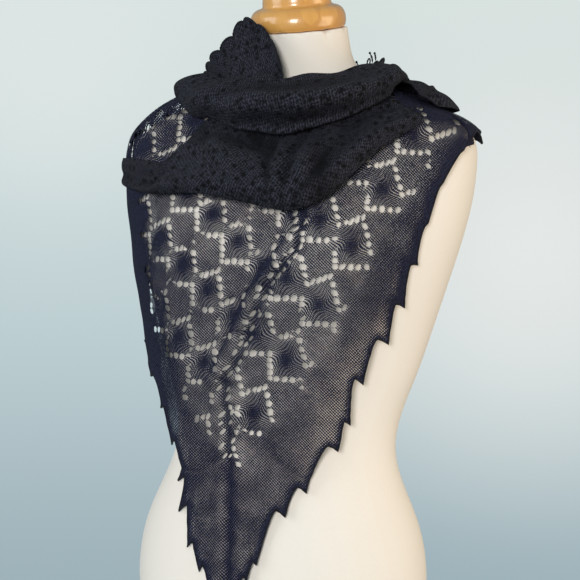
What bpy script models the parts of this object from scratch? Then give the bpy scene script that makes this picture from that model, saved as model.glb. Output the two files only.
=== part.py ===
"""A knitted lace shawl worn point-down on a limbless dress form.

Metres, +Z up. The form stands on its flat underside at the origin and faces -Y,
so its own left side is +X. A bearing is an angle round the form, in degrees,
from 0 at the front towards the form's left. Every stretch of cloth is a closed
wall, moved out from the form or from the stretch that it lies on.
"""
import bpy
import math
import numpy as np

# ---------------------------------------------------------------- driving sizes
CLEAR = 0.0035          # free space between the form and the cloth next to it
WALL = 0.0020           # single layer of lace
COWL_WALL = 0.0028      # gathered layers of the cowl
SEAM = 0.0003           # gap between neighbouring pieces
LACE_STEPS = 9          # facets down the lace from the neck to the border
LOWER_COWL_LINES = 34   # sections along each fold of the cowl
UPPER_COWL_LINES = 40
SCALLOP_STEPS = 4       # facets along each scallop of a wing end
BAND_STEPS = 2          # facets across the border
HANG_RATE = 0.20        # how fast hanging cloth may fall back below a fuller place
HANG_REACH = 41         # steps up the form that a hanging place is compared with
HANG_STEP = 0.010
NECK_LINE = 0.603       # height at which the lowest layer of the shawl starts
NECK_AXIS_Y = 0.022     # the neck's axis lies behind the origin
SHOULDER_POINT = 0.560  # height below which cloth hangs, and above which it lies
TURN_STEP = 0.02        # steps of bearing and height that find a surface's normal
RISE_STEP = 0.004
FOLD_SECTIONS = 14      # sections along the shoulder fold, and lines across it
FOLD_LINES = 7
FOLD_EDGE_DROP = 0.0035 # how far the shoulder fold's outer edge dips
SMOOTH_ANGLE = 50
# Places where the cloth swings, sits closer or stands up: how far it moves, the
# bearing and height of the middle, and the spread over bearing and height.
SIDE_SWING = {"by": 0.0050, "bearing": -86, "height": 0.405, "across": 0.45, "along": 0.070}
SHOULDER_SEAT = {"by": -0.0026, "bearing": 92, "height": 0.590, "across": 0.35, "along": 0.012}
SHOULDER_TENT = {"by": 0.0120, "bearing": -84, "height": 0.600, "across": 0.40, "along": 0.028}

# Dress form: one row for each level of the torso.
FORM_COLUMNS = ("height", "half_width", "front", "back", "squareness", "axis_y", "tilt")
FORM_LEVELS = (
    (0.0000, 0.1475, 0.104, 0.116, 2.20, -0.010, 0.0),
    (0.0500, 0.1615, 0.112, 0.124, 2.20, -0.011, 0.0),
    (0.0950, 0.1630, 0.111, 0.119, 2.20, -0.011, 0.0),
    (0.1400, 0.1545, 0.104, 0.106, 2.20, -0.010, 0.0),
    (0.1800, 0.1375, 0.094, 0.086, 2.15, -0.008, 0.0),
    (0.2155, 0.1250, 0.088, 0.077, 2.10, -0.005, 0.0),
    (0.2550, 0.1285, 0.090, 0.082, 2.10, 0.000, 0.0),
    (0.3000, 0.1440, 0.094, 0.094, 2.10, 0.006, 0.0),
    (0.3500, 0.1590, 0.098, 0.101, 2.15, 0.011, 0.0),
    (0.4000, 0.1740, 0.104, 0.107, 2.20, 0.014, 0.0),
    (0.4500, 0.1885, 0.107, 0.110, 2.30, 0.017, 0.0),
    (0.4900, 0.1975, 0.105, 0.111, 2.40, 0.019, 0.0),
    (0.5200, 0.2010, 0.099, 0.108, 2.50, 0.019, 0.0),
    (0.5450, 0.2020, 0.090, 0.100, 2.50, 0.020, 0.0),
    (0.5650, 0.1960, 0.080, 0.090, 2.40, 0.021, 0.0),
    (0.5830, 0.1720, 0.071, 0.081, 2.30, 0.022, 2.0),
    (0.6010, 0.1300, 0.063, 0.072, 2.15, 0.023, 4.0),
    (0.6180, 0.0900, 0.057, 0.064, 2.00, 0.022, 7.0),
    (0.6330, 0.0670, 0.053, 0.057, 2.00, 0.020, 10.0),
    (0.6470, 0.0590, 0.052, 0.054, 2.00, 0.017, 12.0),
    (0.6620, 0.0560, 0.052, 0.052, 2.00, 0.014, 14.0),
    (0.6800, 0.0545, 0.052, 0.052, 2.00, 0.010, 15.0),
)
BUST = {"across": 0.080, "height": 0.428, "fullness": 0.030,
        "spread_x": 0.046, "spread_up": 0.062, "spread_down": 0.046}
FORM_HOLLOW = 0.60      # how much of the bust's fullness is lost midway, on the form
CLOTH_HOLLOW = 0.36     # and on cloth, which bridges from one side to the other
FORM_TOP = FORM_LEVELS[-1][0]
FORM_SIDES = 44

# Turned wooden neck cap: radius and height of its profile, from the middle of
# its underside up to the crown.
CAP_PROFILE = (
    (0.0505, 0.0000), (0.0528, 0.0022), (0.0536, 0.0085), (0.0530, 0.0150),
    (0.0505, 0.0205), (0.0462, 0.0238), (0.0415, 0.0250), (0.0388, 0.0258),
    (0.0380, 0.0282), (0.0384, 0.0330), (0.0368, 0.0382), (0.0315, 0.0425),
    (0.0220, 0.0452), (0.0110, 0.0462),
)
CAP_CROWN = 0.0465
CAP_SIDES = 48

# The shawl's free edge, in order from the point up the form's left side, round
# the back and down its right side. Each row gives a place on the edge, the place
# opposite it where the plain border meets the lace, and the bearing at which the
# same line of knitting reaches the neck.
EDGE_COLUMNS = ("edge_bearing", "edge_height", "band_bearing", "band_height", "neck_bearing", "picots")
EDGE = (
    (-6.0, 0.052, -13.0, 0.190, 26.0, 1.0),
    (10.5, 0.112, -4.0, 0.205, 31.0, 1.0),
    (25.0, 0.160, 7.0, 0.230, 36.0, 1.0),
    (38.0, 0.190, 20.0, 0.258, 41.0, 1.0),
    (50.5, 0.238, 32.0, 0.300, 46.0, 1.0),
    (55.0, 0.296, 41.0, 0.345, 51.0, 1.0),
    (63.5, 0.345, 48.0, 0.390, 56.0, 1.0),
    (67.0, 0.390, 53.0, 0.435, 61.0, 0.9),
    (69.0, 0.464, 59.0, 0.490, 66.0, 0.15),
    (74.0, 0.515, 66.0, 0.535, 74.0, 0.10),
    (86.0, 0.556, 80.0, 0.574, 86.0, 0.20),
    (104.0, 0.552, 102.0, 0.582, 103.0, 0.8),
    (125.0, 0.530, 124.0, 0.572, 125.0, 1.0),
    (150.0, 0.500, 150.0, 0.553, 150.0, 1.0),
    (180.0, 0.484, 180.0, 0.540, 180.0, 1.0),
    (210.0, 0.478, 210.0, 0.535, 210.0, 1.0),
    (235.0, 0.462, 237.0, 0.520, 236.0, 1.0),
    (255.0, 0.425, 260.0, 0.482, 258.0, 1.0),
    (268.0, 0.370, 275.0, 0.425, 278.0, 1.0),
    (281.0, 0.312, 288.0, 0.362, 300.0, 0.8),
    (294.0, 0.262, 302.0, 0.312, 320.0, 0.5),
    (305.0, 0.208, 318.0, 0.262, 340.0, 0.9),
    (319.0, 0.152, 333.0, 0.222, 358.0, 1.0),
    (334.0, 0.108, 341.0, 0.200, 374.0, 1.0),
    (354.0, 0.052, 347.0, 0.190, 386.0, 1.0),
)
# Distances of the picot points along the free edge from the shawl's own point:
# uneven where they show on the front, and evenly spaced in between.
PICOTS_UP_LEFT = (0.0, 0.024, 0.048, 0.067, 0.124, 0.156, 0.211, 0.240, 0.284, 0.333, 0.374, 0.420)
PICOTS_UP_RIGHT = (0.0, 0.026, 0.057, 0.085, 0.126, 0.160)
PICOT_SPACING = 0.044
PICOT_REACH = 0.015
PICOT_HOOK = 0.84       # part of each scallop over which its edge draws in
SPINE_SWAY = 14.0       # degrees by which the centre spine sways as it falls

# Where the free edge is divided into the stretches that show, as rows of EDGE.
SHOULDER_LEFT_ROW = 9.6
BACK_ROW = 12.5
SHOULDER_RIGHT_ROW = 16.0
FRONT_RIGHT_ROW = 18.4

# Lower cowl: a deep fold that lies on the front. Heights and stand-off from the
# form for its top, its hollow, its belly and its lip.
LOWER_COWL_COLUMNS = ("bearing", "top", "hollow", "lip", "belly_out", "lip_out")
LOWER_COWL = (
    (-100.0, 0.576, 0.560, 0.530, 0.0070, 0.0068),
    (-84.0, 0.586, 0.562, 0.514, 0.0075, 0.0070),
    (-64.0, 0.592, 0.562, 0.497, 0.0100, 0.0080),
    (-46.0, 0.586, 0.560, 0.487, 0.0210, 0.0140),
    (-28.0, 0.582, 0.556, 0.484, 0.0300, 0.0190),
    (-10.0, 0.578, 0.550, 0.478, 0.0350, 0.0230),
    (8.0, 0.576, 0.546, 0.471, 0.0380, 0.0250),
    (22.0, 0.576, 0.546, 0.467, 0.0380, 0.0250),
    (34.0, 0.578, 0.552, 0.480, 0.0350, 0.0230),
    (48.0, 0.582, 0.562, 0.515, 0.0290, 0.0190),
    (60.0, 0.586, 0.572, 0.543, 0.0200, 0.0140),
    (70.0, 0.590, 0.580, 0.562, 0.0130, 0.0100),
)
COWL_GAP = 0.0012       # from the lace to the lower cowl at its top
HOLLOW_LIFT = 0.0015    # how much further out it lies in its hollow
# Upper cowl: a roll that loops right round the neck.
UPPER_COWL_COLUMNS = ("bearing", "crease", "crease_out", "belly_out", "rim_radius", "rim")
UPPER_COWL = (
    (-180.0, 0.584, 0.0080, 0.0080, 0.0880, 0.640),
    (-140.0, 0.590, 0.0080, 0.0080, 0.0930, 0.645),
    (-110.0, 0.602, 0.0085, 0.0050, 0.1000, 0.648),
    (-85.0, 0.605, 0.0090, 0.0045, 0.1040, 0.647),
    (-60.0, 0.590, 0.0165, 0.0075, 0.1060, 0.637),
    (-35.0, 0.564, 0.0215, 0.0115, 0.1020, 0.621),
    (-10.0, 0.549, 0.0230, 0.0130, 0.1000, 0.613),
    (15.0, 0.545, 0.0240, 0.0130, 0.1000, 0.611),
    (40.0, 0.556, 0.0240, 0.0120, 0.1050, 0.612),
    (62.0, 0.577, 0.0215, 0.0080, 0.1140, 0.616),
    (76.0, 0.591, 0.0140, 0.0050, 0.1160, 0.620),
    (92.0, 0.603, 0.0085, 0.0045, 0.1110, 0.625),
    (112.0, 0.602, 0.0078, 0.0065, 0.1050, 0.629),
    (140.0, 0.590, 0.0078, 0.0080, 0.0950, 0.634),
    (180.0, 0.584, 0.0080, 0.0080, 0.0880, 0.640),
)
BELLY_ROUND = 0.0030    # how far the roll draws in again above its belly
BELLY_OVER_RIM = 0.0040 # least distance from the rim's radius to the belly's foot
RIM_TURN = 0.0080       # how far the rim turns in towards the neck
RIM_DROP = 0.0070       # and down
FOOT_GAP = 0.0005       # from the rim to the foot of a wing end
# Wing end that stands against the right side of the neck.
WING_END_COLUMNS = ("bearing", "radius", "top")
WING_END_RIGHT = (
    (-78.0, 0.0850, 0.652),
    (-64.0, 0.0850, 0.657),
    (-52.0, 0.0845, 0.664),
    (-40.0, 0.0830, 0.673),
    (-28.0, 0.0805, 0.681),
    (-17.0, 0.0790, 0.674),
    (-6.0, 0.0780, 0.650),
    (3.0, 0.0780, 0.622),
)
# Edge of the other wing end, which shows behind the neck on its left.
WING_END_LEFT = (
    (62.0, 0.0880, 0.624),
    (80.0, 0.0890, 0.631),
    (98.0, 0.0900, 0.638),
    (118.0, 0.0860, 0.643),
    (138.0, 0.0790, 0.645),
    (158.0, 0.0740, 0.645),
)
# Raised fold over the left shoulder: bearing, and its stand-off from the form.
SHOULDER_FOLD_COLUMNS = ("bearing", "stand_off")
SHOULDER_FOLD = (
    (78.0, 0.0130), (83.0, 0.0140), (90.0, 0.0120), (98.0, 0.0098), (108.0, 0.0086),
)
SHOULDER_FOLD_OUTER = 0.5760
SHOULDER_FOLD_INNER = 0.5900

CLOTH_INK = (0.010, 0.011, 0.017)
FORM_CREAM = (0.80, 0.74, 0.66)
CAP_MAPLE = (0.62, 0.36, 0.14)


# ---------------------------------------------------------------- tables
def read_table(rows, column):
    """Smooth value of one column at each place of the first column."""
    table = np.array(rows, float)
    places = table[:, 0]
    values = table[:, column]
    slopes = np.gradient(values, places)

    def value(place):
        place = np.asarray(place, float)
        step = np.clip(np.searchsorted(places, place) - 1, 0, len(places) - 2)
        length = places[step + 1] - places[step]
        t = np.clip((place - places[step]) / length, 0.0, 1.0)
        start = (2 * t**3 - 3 * t**2 + 1) * values[step] + (t**3 - 2 * t**2 + t) * length * slopes[step]
        end = (3 * t**2 - 2 * t**3) * values[step + 1] + (t**3 - t**2) * length * slopes[step + 1]
        return start + end
    return value


def read_columns(rows, names):
    return {name: read_table(rows, column) for column, name in enumerate(names) if column}


FORM = read_columns(FORM_LEVELS, FORM_COLUMNS)


# ---------------------------------------------------------------- the form's surface
def form_radius(bearing, height, hollow=FORM_HOLLOW):
    """Distance from the form's axis to its surface."""
    cos_b = np.cos(bearing)
    sin_b = np.sin(bearing)
    depth = np.where(cos_b > 0, FORM["front"](height), FORM["back"](height))
    power = FORM["squareness"](height)
    radius = (np.abs(sin_b / FORM["half_width"](height))**power + np.abs(cos_b / depth)**power)**(-1 / power)
    beyond = np.abs(radius * sin_b) - BUST["across"]
    inside = np.clip(-beyond / BUST["across"], 0, 1)
    across = np.where(beyond > 0, np.exp(-(beyond / BUST["spread_x"])**2 / 2),
                      1 - hollow * inside**2 * (3 - 2 * inside))
    above = height - BUST["height"]
    along = above / np.where(above > 0, BUST["spread_up"], BUST["spread_down"])
    return radius + BUST["fullness"] * across * np.exp(-along**2 / 2) * np.clip(cos_b, 0, 1)


def swell(place, bearing, height):
    """How far the cloth moves out at a bearing and height for one such place."""
    across = (bearing - math.radians(place["bearing"])) / place["across"]
    along = (height - place["height"]) / place["along"]
    return place["by"] * np.exp(-across**2 - along**2)


def hang_radius(bearing, height):
    """The radius to which cloth hangs from whatever is fuller above it."""
    radius = form_radius(bearing, height, CLOTH_HOLLOW)
    for step in range(1, HANG_REACH):
        drop = step * HANG_STEP
        above = np.maximum(height, np.minimum(height + drop, SHOULDER_POINT))
        fall = HANG_RATE * (above - height)
        radius = np.maximum(radius, form_radius(bearing, above, CLOTH_HOLLOW) - fall)
    return radius + swell(SIDE_SWING, bearing, height)


def place(bearing, height, radius):
    axis_y = FORM["axis_y"](height)
    tilt = np.tan(np.radians(FORM["tilt"](height)))
    x = radius * np.sin(bearing)
    y = -radius * np.cos(bearing)
    return np.stack([x, y + axis_y, height + y * tilt], axis=-1)


def form_point(bearing, height):
    return place(bearing, height, form_radius(bearing, height))


def unit(vector):
    return vector / np.linalg.norm(vector, axis=-1, keepdims=True)


def wrap(bearing):
    return (bearing + math.pi) % (2 * math.pi) - math.pi


def lie(bearing_degrees, height, stand_off):
    """A point that lies on the form, moved out along the surface's own normal."""
    bearing = wrap(np.radians(np.asarray(bearing_degrees, float)))
    height = np.asarray(height, float)

    def hung(turned, raised):
        return place(bearing + turned, height + raised, hang_radius(bearing + turned, height + raised))

    turn = hung(TURN_STEP, 0) - hung(-TURN_STEP, 0)
    rise = hung(0, RISE_STEP) - hung(0, -RISE_STEP)
    out = unit(np.cross(turn, rise))
    moved = swell(SHOULDER_SEAT, bearing, height) + swell(SHOULDER_TENT, bearing, height)
    stand_off = np.asarray(stand_off, float) + moved
    return hung(0, 0) + out * stand_off[..., None]


def round_neck(bearing_degrees, radius, height):
    bearing = np.radians(np.asarray(bearing_degrees, float))
    radius = np.asarray(radius, float)
    height = np.asarray(height, float)
    return np.stack([radius * np.sin(bearing), NECK_AXIS_Y - radius * np.cos(bearing), height], axis=-1)


# ---------------------------------------------------------------- objects
def material(name, colour, roughness):
    shade = bpy.data.materials.new(name)
    shade.use_nodes = True
    shader = shade.node_tree.nodes["Principled BSDF"]
    shader.inputs["Base Color"].default_value = (*colour, 1.0)
    shader.inputs["Roughness"].default_value = roughness
    shader.inputs["Metallic"].default_value = 0.0
    return shade


def add_object(name, points, faces, shade):
    mesh = bpy.data.meshes.new(name)
    mesh.from_pydata([tuple(point) for point in points], [], faces)
    mesh.validate()
    mesh.materials.append(shade)
    mesh.shade_smooth()
    mesh.set_sharp_from_angle(angle=math.radians(SMOOTH_ANGLE))
    piece = bpy.data.objects.new(name, mesh)
    bpy.context.scene.collection.objects.link(piece)
    return piece


def grid_normals(grid, closed):
    """Outward normals of a grid whose rows run down and whose columns run left."""
    across = np.empty_like(grid)
    if closed:
        across = np.roll(grid, -1, axis=1) - np.roll(grid, 1, axis=1)
    else:
        across[:, 1:-1] = grid[:, 2:] - grid[:, :-2]
        across[:, 0] = grid[:, 1] - grid[:, 0]
        across[:, -1] = grid[:, -1] - grid[:, -2]
    down = np.empty_like(grid)
    down[1:-1] = grid[2:] - grid[:-2]
    down[0] = grid[1] - grid[0]
    down[-1] = grid[-1] - grid[-2]
    return unit(np.cross(down, across))


def thickened(grid, thickness, closed=False):
    return grid + grid_normals(grid, closed) * thickness


def wall(name, grid, outer, shade, closed=False):
    """A closed cloth wall between its inner and outer face. The rows of both run
    downwards and their columns run towards the form's left."""
    rows, columns = grid.shape[:2]
    points = np.concatenate([grid.reshape(-1, 3), outer.reshape(-1, 3)])
    shift = rows * columns
    faces = []

    def index(row, column):
        return row * columns + column % columns

    spans = columns if closed else columns - 1
    for row in range(rows - 1):
        for column in range(spans):
            a = index(row, column)
            b = index(row + 1, column)
            c = index(row + 1, column + 1)
            d = index(row, column + 1)
            faces.append((a + shift, b + shift, c + shift, d + shift))
            faces.append((d, c, b, a))
    for column in range(spans):
        a = index(0, column)
        d = index(0, column + 1)
        faces.append((a, a + shift, d + shift, d))
        b = index(rows - 1, column)
        c = index(rows - 1, column + 1)
        faces.append((c, c + shift, b + shift, b))
    if not closed:
        for row in range(rows - 1):
            a = index(row, 0)
            b = index(row + 1, 0)
            faces.append((b, b + shift, a + shift, a))
            d = index(row, columns - 1)
            c = index(row + 1, columns - 1)
            faces.append((d, d + shift, c + shift, c))
    return add_object(name, points, faces, shade)


# ---------------------------------------------------------------- dress form
def dress_form_torso(shade):
    heights = [0.0, 0.012]
    while heights[-1] < FORM_TOP - 0.010:
        step = 0.012 if 0.53 < heights[-1] < 0.65 else 0.024
        heights.append(heights[-1] + step)
    heights[-1] = FORM_TOP
    bearings = np.linspace(0, 2 * math.pi, FORM_SIDES, endpoint=False)
    points = [form_point(bearing, height) for height in heights for bearing in bearings]
    faces = []
    for level in range(len(heights) - 1):
        for side in range(FORM_SIDES):
            after = (side + 1) % FORM_SIDES
            low = level * FORM_SIDES
            high = low + FORM_SIDES
            faces.append((low + side, low + after, high + after, high + side))
    faces.append(tuple(reversed(range(FORM_SIDES))))
    last = (len(heights) - 1) * FORM_SIDES
    faces.append(tuple(range(last, last + FORM_SIDES)))
    return add_object("dress_form_torso", points, faces, shade)


def dress_form_neck_cap(shade):
    points = []
    for radius, height in CAP_PROFILE:
        for side in range(CAP_SIDES):
            angle = 2 * math.pi * side / CAP_SIDES
            points.append((radius * math.sin(angle), -radius * math.cos(angle), height + SEAM))
    faces = []
    for ring in range(len(CAP_PROFILE) - 1):
        for side in range(CAP_SIDES):
            after = (side + 1) % CAP_SIDES
            low = ring * CAP_SIDES
            high = low + CAP_SIDES
            faces.append((low + side, low + after, high + after, high + side))
    faces.append(tuple(reversed(range(CAP_SIDES))))
    crown = len(points)
    points.append((0.0, 0.0, CAP_CROWN + SEAM))
    last = (len(CAP_PROFILE) - 1) * CAP_SIDES
    for side in range(CAP_SIDES):
        faces.append((last + side, last + (side + 1) % CAP_SIDES, crown))
    cap = add_object("dress_form_neck_cap", points, faces, shade)
    top_level = FORM_LEVELS[-1]
    cap.location = (0.0, top_level[5], FORM_TOP)
    cap.rotation_euler = (math.radians(top_level[6]), 0.0, 0.0)
    return cap


# ---------------------------------------------------------------- the shawl's lowest layer
EDGE_ROWS = tuple((row, *values) for row, values in enumerate(EDGE))
EDGE_LINE = {name: read_table(EDGE_ROWS, column + 1) for column, name in enumerate(EDGE_COLUMNS)}


def edge_lengths():
    """Distance along the free edge from the point, at fine steps of the edge's rows."""
    rows = np.linspace(0, len(EDGE) - 1, 600)
    points = lie(EDGE_LINE["edge_bearing"](rows), EDGE_LINE["edge_height"](rows), CLEAR)
    steps = np.linalg.norm(np.diff(points, axis=0), axis=1)
    return rows, np.concatenate([[0.0], np.cumsum(steps)])


def picot_points():
    """Rows of EDGE and distances along it of every picot point."""
    rows, lengths = edge_lengths()
    total = lengths[-1]
    first = PICOTS_UP_LEFT[-1]
    last = total - PICOTS_UP_RIGHT[-1]
    between = np.linspace(first, last, round((last - first) / PICOT_SPACING) + 1)[1:-1]
    points = np.concatenate([PICOTS_UP_LEFT, between, total - np.array(PICOTS_UP_RIGHT[::-1])])
    return np.interp(points, lengths, rows), points


def drawn_in(part):
    """How far the edge draws in: 0 at a picot point, and 1 at the deepest place of
    its scallop, which lies close to the next point up. The part runs up the
    scallop from 0 to 1."""
    if part < PICOT_HOOK:
        return 1 - ((PICOT_HOOK - part) / PICOT_HOOK)**1.8
    return 1 - ((part - PICOT_HOOK) / (1 - PICOT_HOOK))**1.2


def knitting_lines(first_row, last_row, per_picot, turn=0.0):
    """Places at the neck, at the border's inner line and on the free edge, for
    lines of knitting side by side. Each place is a bearing and a height."""
    rows, lengths = edge_lengths()
    tip_rows, tips = picot_points()
    first, last = (int(np.argmin(np.abs(tip_rows - row))) for row in (first_row, last_row))
    upwards = tip_rows[first] < len(EDGE) / 2
    distances = []
    depths = []
    for start, stop in zip(tips[first:last], tips[first + 1:last + 1]):
        depth = PICOT_REACH * min(1.0, (stop - start) / PICOT_SPACING)
        for part in np.arange(per_picot) / per_picot:
            distances.append(start + (stop - start) * part)
            depths.append(depth * drawn_in(part if upwards else 1 - part))
    distances.append(tips[last])
    depths.append(0.0)
    rows = np.interp(distances, lengths, rows)
    line = {name: value(rows) for name, value in EDGE_LINE.items()}
    edge = np.stack([line["edge_bearing"] - turn, line["edge_height"]], axis=-1)
    inner = np.stack([line["band_bearing"] - turn, line["band_height"]], axis=-1)
    neck = np.stack([line["neck_bearing"] - turn, np.full(len(rows), NECK_LINE)], axis=-1)
    inward = inner - edge
    radius = form_radius(wrap(np.radians(edge[:, 0])), edge[:, 1])
    metric = np.stack([np.radians(inward[:, 0]) * radius, inward[:, 1]], axis=-1)
    depths = np.array(depths) * line["picots"] / np.linalg.norm(metric, axis=-1)
    return neck, inner, edge + inward * depths[:, None]


def front_lines(per_picot):
    """The lines of the front, from its right side past the point to its left."""
    right = knitting_lines(FRONT_RIGHT_ROW, len(EDGE) - 1, per_picot, turn=360.0)
    left = knitting_lines(0.0, SHOULDER_LEFT_ROW, per_picot)
    return [np.concatenate([a[:-1], b]) for a, b in zip(right, left)]


def lace_steps(neck, inner, count):
    """Even steps down the lace, which sways to both sides near its spine."""
    near_spine = np.exp(-((neck[:, 0] - 26.0) / 34.0)**2)
    steps = []
    for t in np.linspace(0, 1, count + 1):
        step = neck + (inner - neck) * t
        step[:, 0] += SPINE_SWAY * math.sin(2 * math.pi * t) * near_spine
        steps.append(step)
    return steps


def band_steps(inner, edge, count):
    return [inner + (edge - inner) * t for t in np.linspace(0, 1, count + 1)]


def refined(line, count):
    """A line of points made of more points, spread evenly along the same facets."""
    places = np.linspace(0, len(line) - 1, count)
    return np.stack([np.interp(places, np.arange(len(line)), line[:, axis]) for axis in range(3)], axis=-1)


def single_layer(name, steps, shade, seam=None):
    """One layer of lace on the form. A seam is the wider-spaced line of the piece
    that it joins, and its first line follows that piece's facets."""
    grid = np.array(steps)
    faces = []
    for stand_off in (CLEAR, CLEAR + WALL):
        points = lie(grid[..., 0], grid[..., 1], np.full(grid.shape[:2], stand_off))
        if seam is not None:
            joined = lie(seam[:, 0], seam[:, 1], np.full(len(seam), stand_off))
            points[0] = refined(joined, points.shape[1])
        faces.append(pull_in(points, SEAM / 2))
    return wall(name, faces[0], faces[1], shade)


def shoulder_or_back(name, first_row, last_row, shade):
    neck, inner, edge = knitting_lines(first_row, last_row, 2)
    steps = lace_steps(neck, inner, LACE_STEPS)[:-1] + band_steps(inner, edge, BAND_STEPS)
    return single_layer(name, steps, shade)


def pull_in(grid, gap):
    """Draws the outline of a grid in by a gap, so that neighbours stay apart."""
    grid = grid.copy()
    for first, second in ((0, 1), (-1, -2)):
        grid[:, first] += unit(grid[:, second] - grid[:, first]) * gap
    for first, second in ((0, 1), (-1, -2)):
        grid[first] += unit(grid[second] - grid[first]) * gap
    return grid


# ---------------------------------------------------------------- cowl and wing ends
def through(points, steps):
    """A smooth line through a few points, for a whole row of sections at once."""
    points = np.asarray(points)
    count = len(points)
    padded = np.concatenate([[2 * points[0] - points[1]], points, [2 * points[-1] - points[-2]]])
    line = []
    for span in range(count - 1):
        for t in np.linspace(0, 1, steps, endpoint=False):
            a, b, c, d = padded[span:span + 4]
            line.append(0.5 * (2 * b + (c - a) * t + (2 * a - 5 * b + 4 * c - d) * t**2
                               + (3 * b - a - 3 * c + d) * t**3))
    line.append(points[-1])
    return np.array(line)


def lower_cowl(shade):
    column = read_columns(LOWER_COWL, LOWER_COWL_COLUMNS)
    bearings = np.linspace(LOWER_COWL[0][0], LOWER_COWL[-1][0], LOWER_COWL_LINES)
    top = column["top"](bearings)
    hollow = column["hollow"](bearings)
    lip = column["lip"](bearings)
    belly_out = column["belly_out"](bearings)
    lip_out = column["lip_out"](bearings)
    near = np.full(LOWER_COWL_LINES, CLEAR + WALL + COWL_GAP)
    drop = hollow - lip
    stations = (
        (top, near),
        (hollow, near + HOLLOW_LIFT),
        (hollow - drop * 0.45, belly_out * 0.90),
        (lip + drop * 0.16, belly_out),
        (lip, lip_out),
    )
    grid = through([np.stack([height, out], axis=-1) for height, out in stations], 2)
    inner = lie(np.broadcast_to(bearings, grid.shape[:2]), grid[..., 0], grid[..., 1])
    return wall("shawl_cowl_lower", inner, thickened(inner, COWL_WALL), shade)


def upper_cowl(shade):
    column = read_columns(UPPER_COWL, UPPER_COWL_COLUMNS)
    bearings = np.linspace(-180, 180, UPPER_COWL_LINES, endpoint=False)
    crease = lie(bearings, column["crease"](bearings), column["crease_out"](bearings))
    bottom = crease[:, 2]
    bottom_radius = np.hypot(crease[:, 0], crease[:, 1] - NECK_AXIS_Y)
    rim = column["rim"](bearings)
    rim_radius = column["rim_radius"](bearings)
    belly_radius = np.maximum(bottom_radius, rim_radius + BELLY_OVER_RIM) + column["belly_out"](bearings)
    stations = (
        (rim_radius - RIM_TURN, rim - RIM_DROP),
        (rim_radius - RIM_TURN * 0.6, rim - RIM_DROP * 0.3),
        (rim_radius, rim),
        (belly_radius - BELLY_ROUND, rim - (rim - bottom) * 0.30),
        (belly_radius, bottom + (rim - bottom) * 0.35),
        (bottom_radius, bottom),
    )
    grid = through([np.stack([radius, height], axis=-1) for radius, height in stations], 2)
    inner = round_neck(np.broadcast_to(bearings, grid.shape[:2]), grid[..., 0], grid[..., 1])
    return wall("shawl_cowl_upper", inner, thickened(inner, COWL_WALL, closed=True), shade, closed=True)


def wing_end(name, rows, shade, scallops, depth):
    """A standing end of a wing, with a scalloped top edge. Its foot lies inside the
    rim of the upper cowl, just clear of it."""
    column = read_columns(rows, WING_END_COLUMNS)
    cowl = read_columns(UPPER_COWL, UPPER_COWL_COLUMNS)
    count = scallops * SCALLOP_STEPS + 1
    bearings = np.linspace(rows[0][0], rows[-1][0], count)
    hollow = np.array([drawn_in(step % SCALLOP_STEPS / SCALLOP_STEPS) for step in range(count)]) * depth
    top = column["top"](bearings) - hollow
    radius = column["radius"](bearings)
    foot = cowl["rim"](bearings) - RIM_DROP
    foot_radius = cowl["rim_radius"](bearings) - RIM_TURN - COWL_WALL - WALL - FOOT_GAP
    lines = []
    for t in np.linspace(0, 1, 5):
        lines.append(round_neck(bearings, radius + (foot_radius - radius) * t**2, top + (foot - top) * t))
    inner = np.array(lines)
    return wall(name, inner, thickened(inner, WALL), shade)


def shoulder_fold(shade):
    """A raised fold over the left shoulder, open towards the front."""
    column = read_columns(SHOULDER_FOLD, SHOULDER_FOLD_COLUMNS)
    bearings = np.linspace(SHOULDER_FOLD[0][0], SHOULDER_FOLD[-1][0], FOLD_SECTIONS)
    lines = []
    for t in np.linspace(0, 1, FOLD_LINES):
        height = SHOULDER_FOLD_INNER + (SHOULDER_FOLD_OUTER - SHOULDER_FOLD_INNER) * t
        stand_off = column["stand_off"](bearings) - FOLD_EDGE_DROP * t**3
        lines.append(lie(bearings, np.full(FOLD_SECTIONS, height), stand_off))
    inner = np.array(lines)
    return wall("shawl_shoulder_fold_left", inner, thickened(inner, WALL), shade)


# ---------------------------------------------------------------- build
def build():
    for leftover in list(bpy.data.objects):
        bpy.data.objects.remove(leftover, do_unlink=True)
    linen = material("cream_linen", FORM_CREAM, 0.85)
    maple = material("turned_maple", CAP_MAPLE, 0.30)
    lace = material("dark_lace_knit", CLOTH_INK, 0.80)
    dress_form_torso(linen)
    dress_form_neck_cap(maple)
    neck, seam, _ = front_lines(2)
    single_layer("shawl_lace_front", lace_steps(neck, seam, LACE_STEPS), lace)
    _, inner, edge = front_lines(6)
    single_layer("shawl_border_front", band_steps(inner, edge, BAND_STEPS), lace, seam)
    shoulder_or_back("shawl_shoulder_left", SHOULDER_LEFT_ROW, BACK_ROW, lace)
    shoulder_or_back("shawl_back", BACK_ROW, SHOULDER_RIGHT_ROW, lace)
    shoulder_or_back("shawl_shoulder_right", SHOULDER_RIGHT_ROW, FRONT_RIGHT_ROW, lace)
    lower_cowl(lace)
    upper_cowl(lace)
    wing_end("shawl_wing_end_right", WING_END_RIGHT, lace, 6, 0.004)
    wing_end("shawl_wing_end_left", WING_END_LEFT, lace, 5, 0.007)
    shoulder_fold(lace)


build()
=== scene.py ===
"""Looks of a knitted lace shawl worn point-down on a limbless dress form.

Metres, +Z up. The form stands on its flat underside at the origin and faces -Y,
so its own left side is +X. A bearing is an angle round the form, in degrees,
from 0 at the front towards the form's left.
"""
import math
import bpy
import numpy as np
from mathutils import Matrix, Vector, geometry


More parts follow.
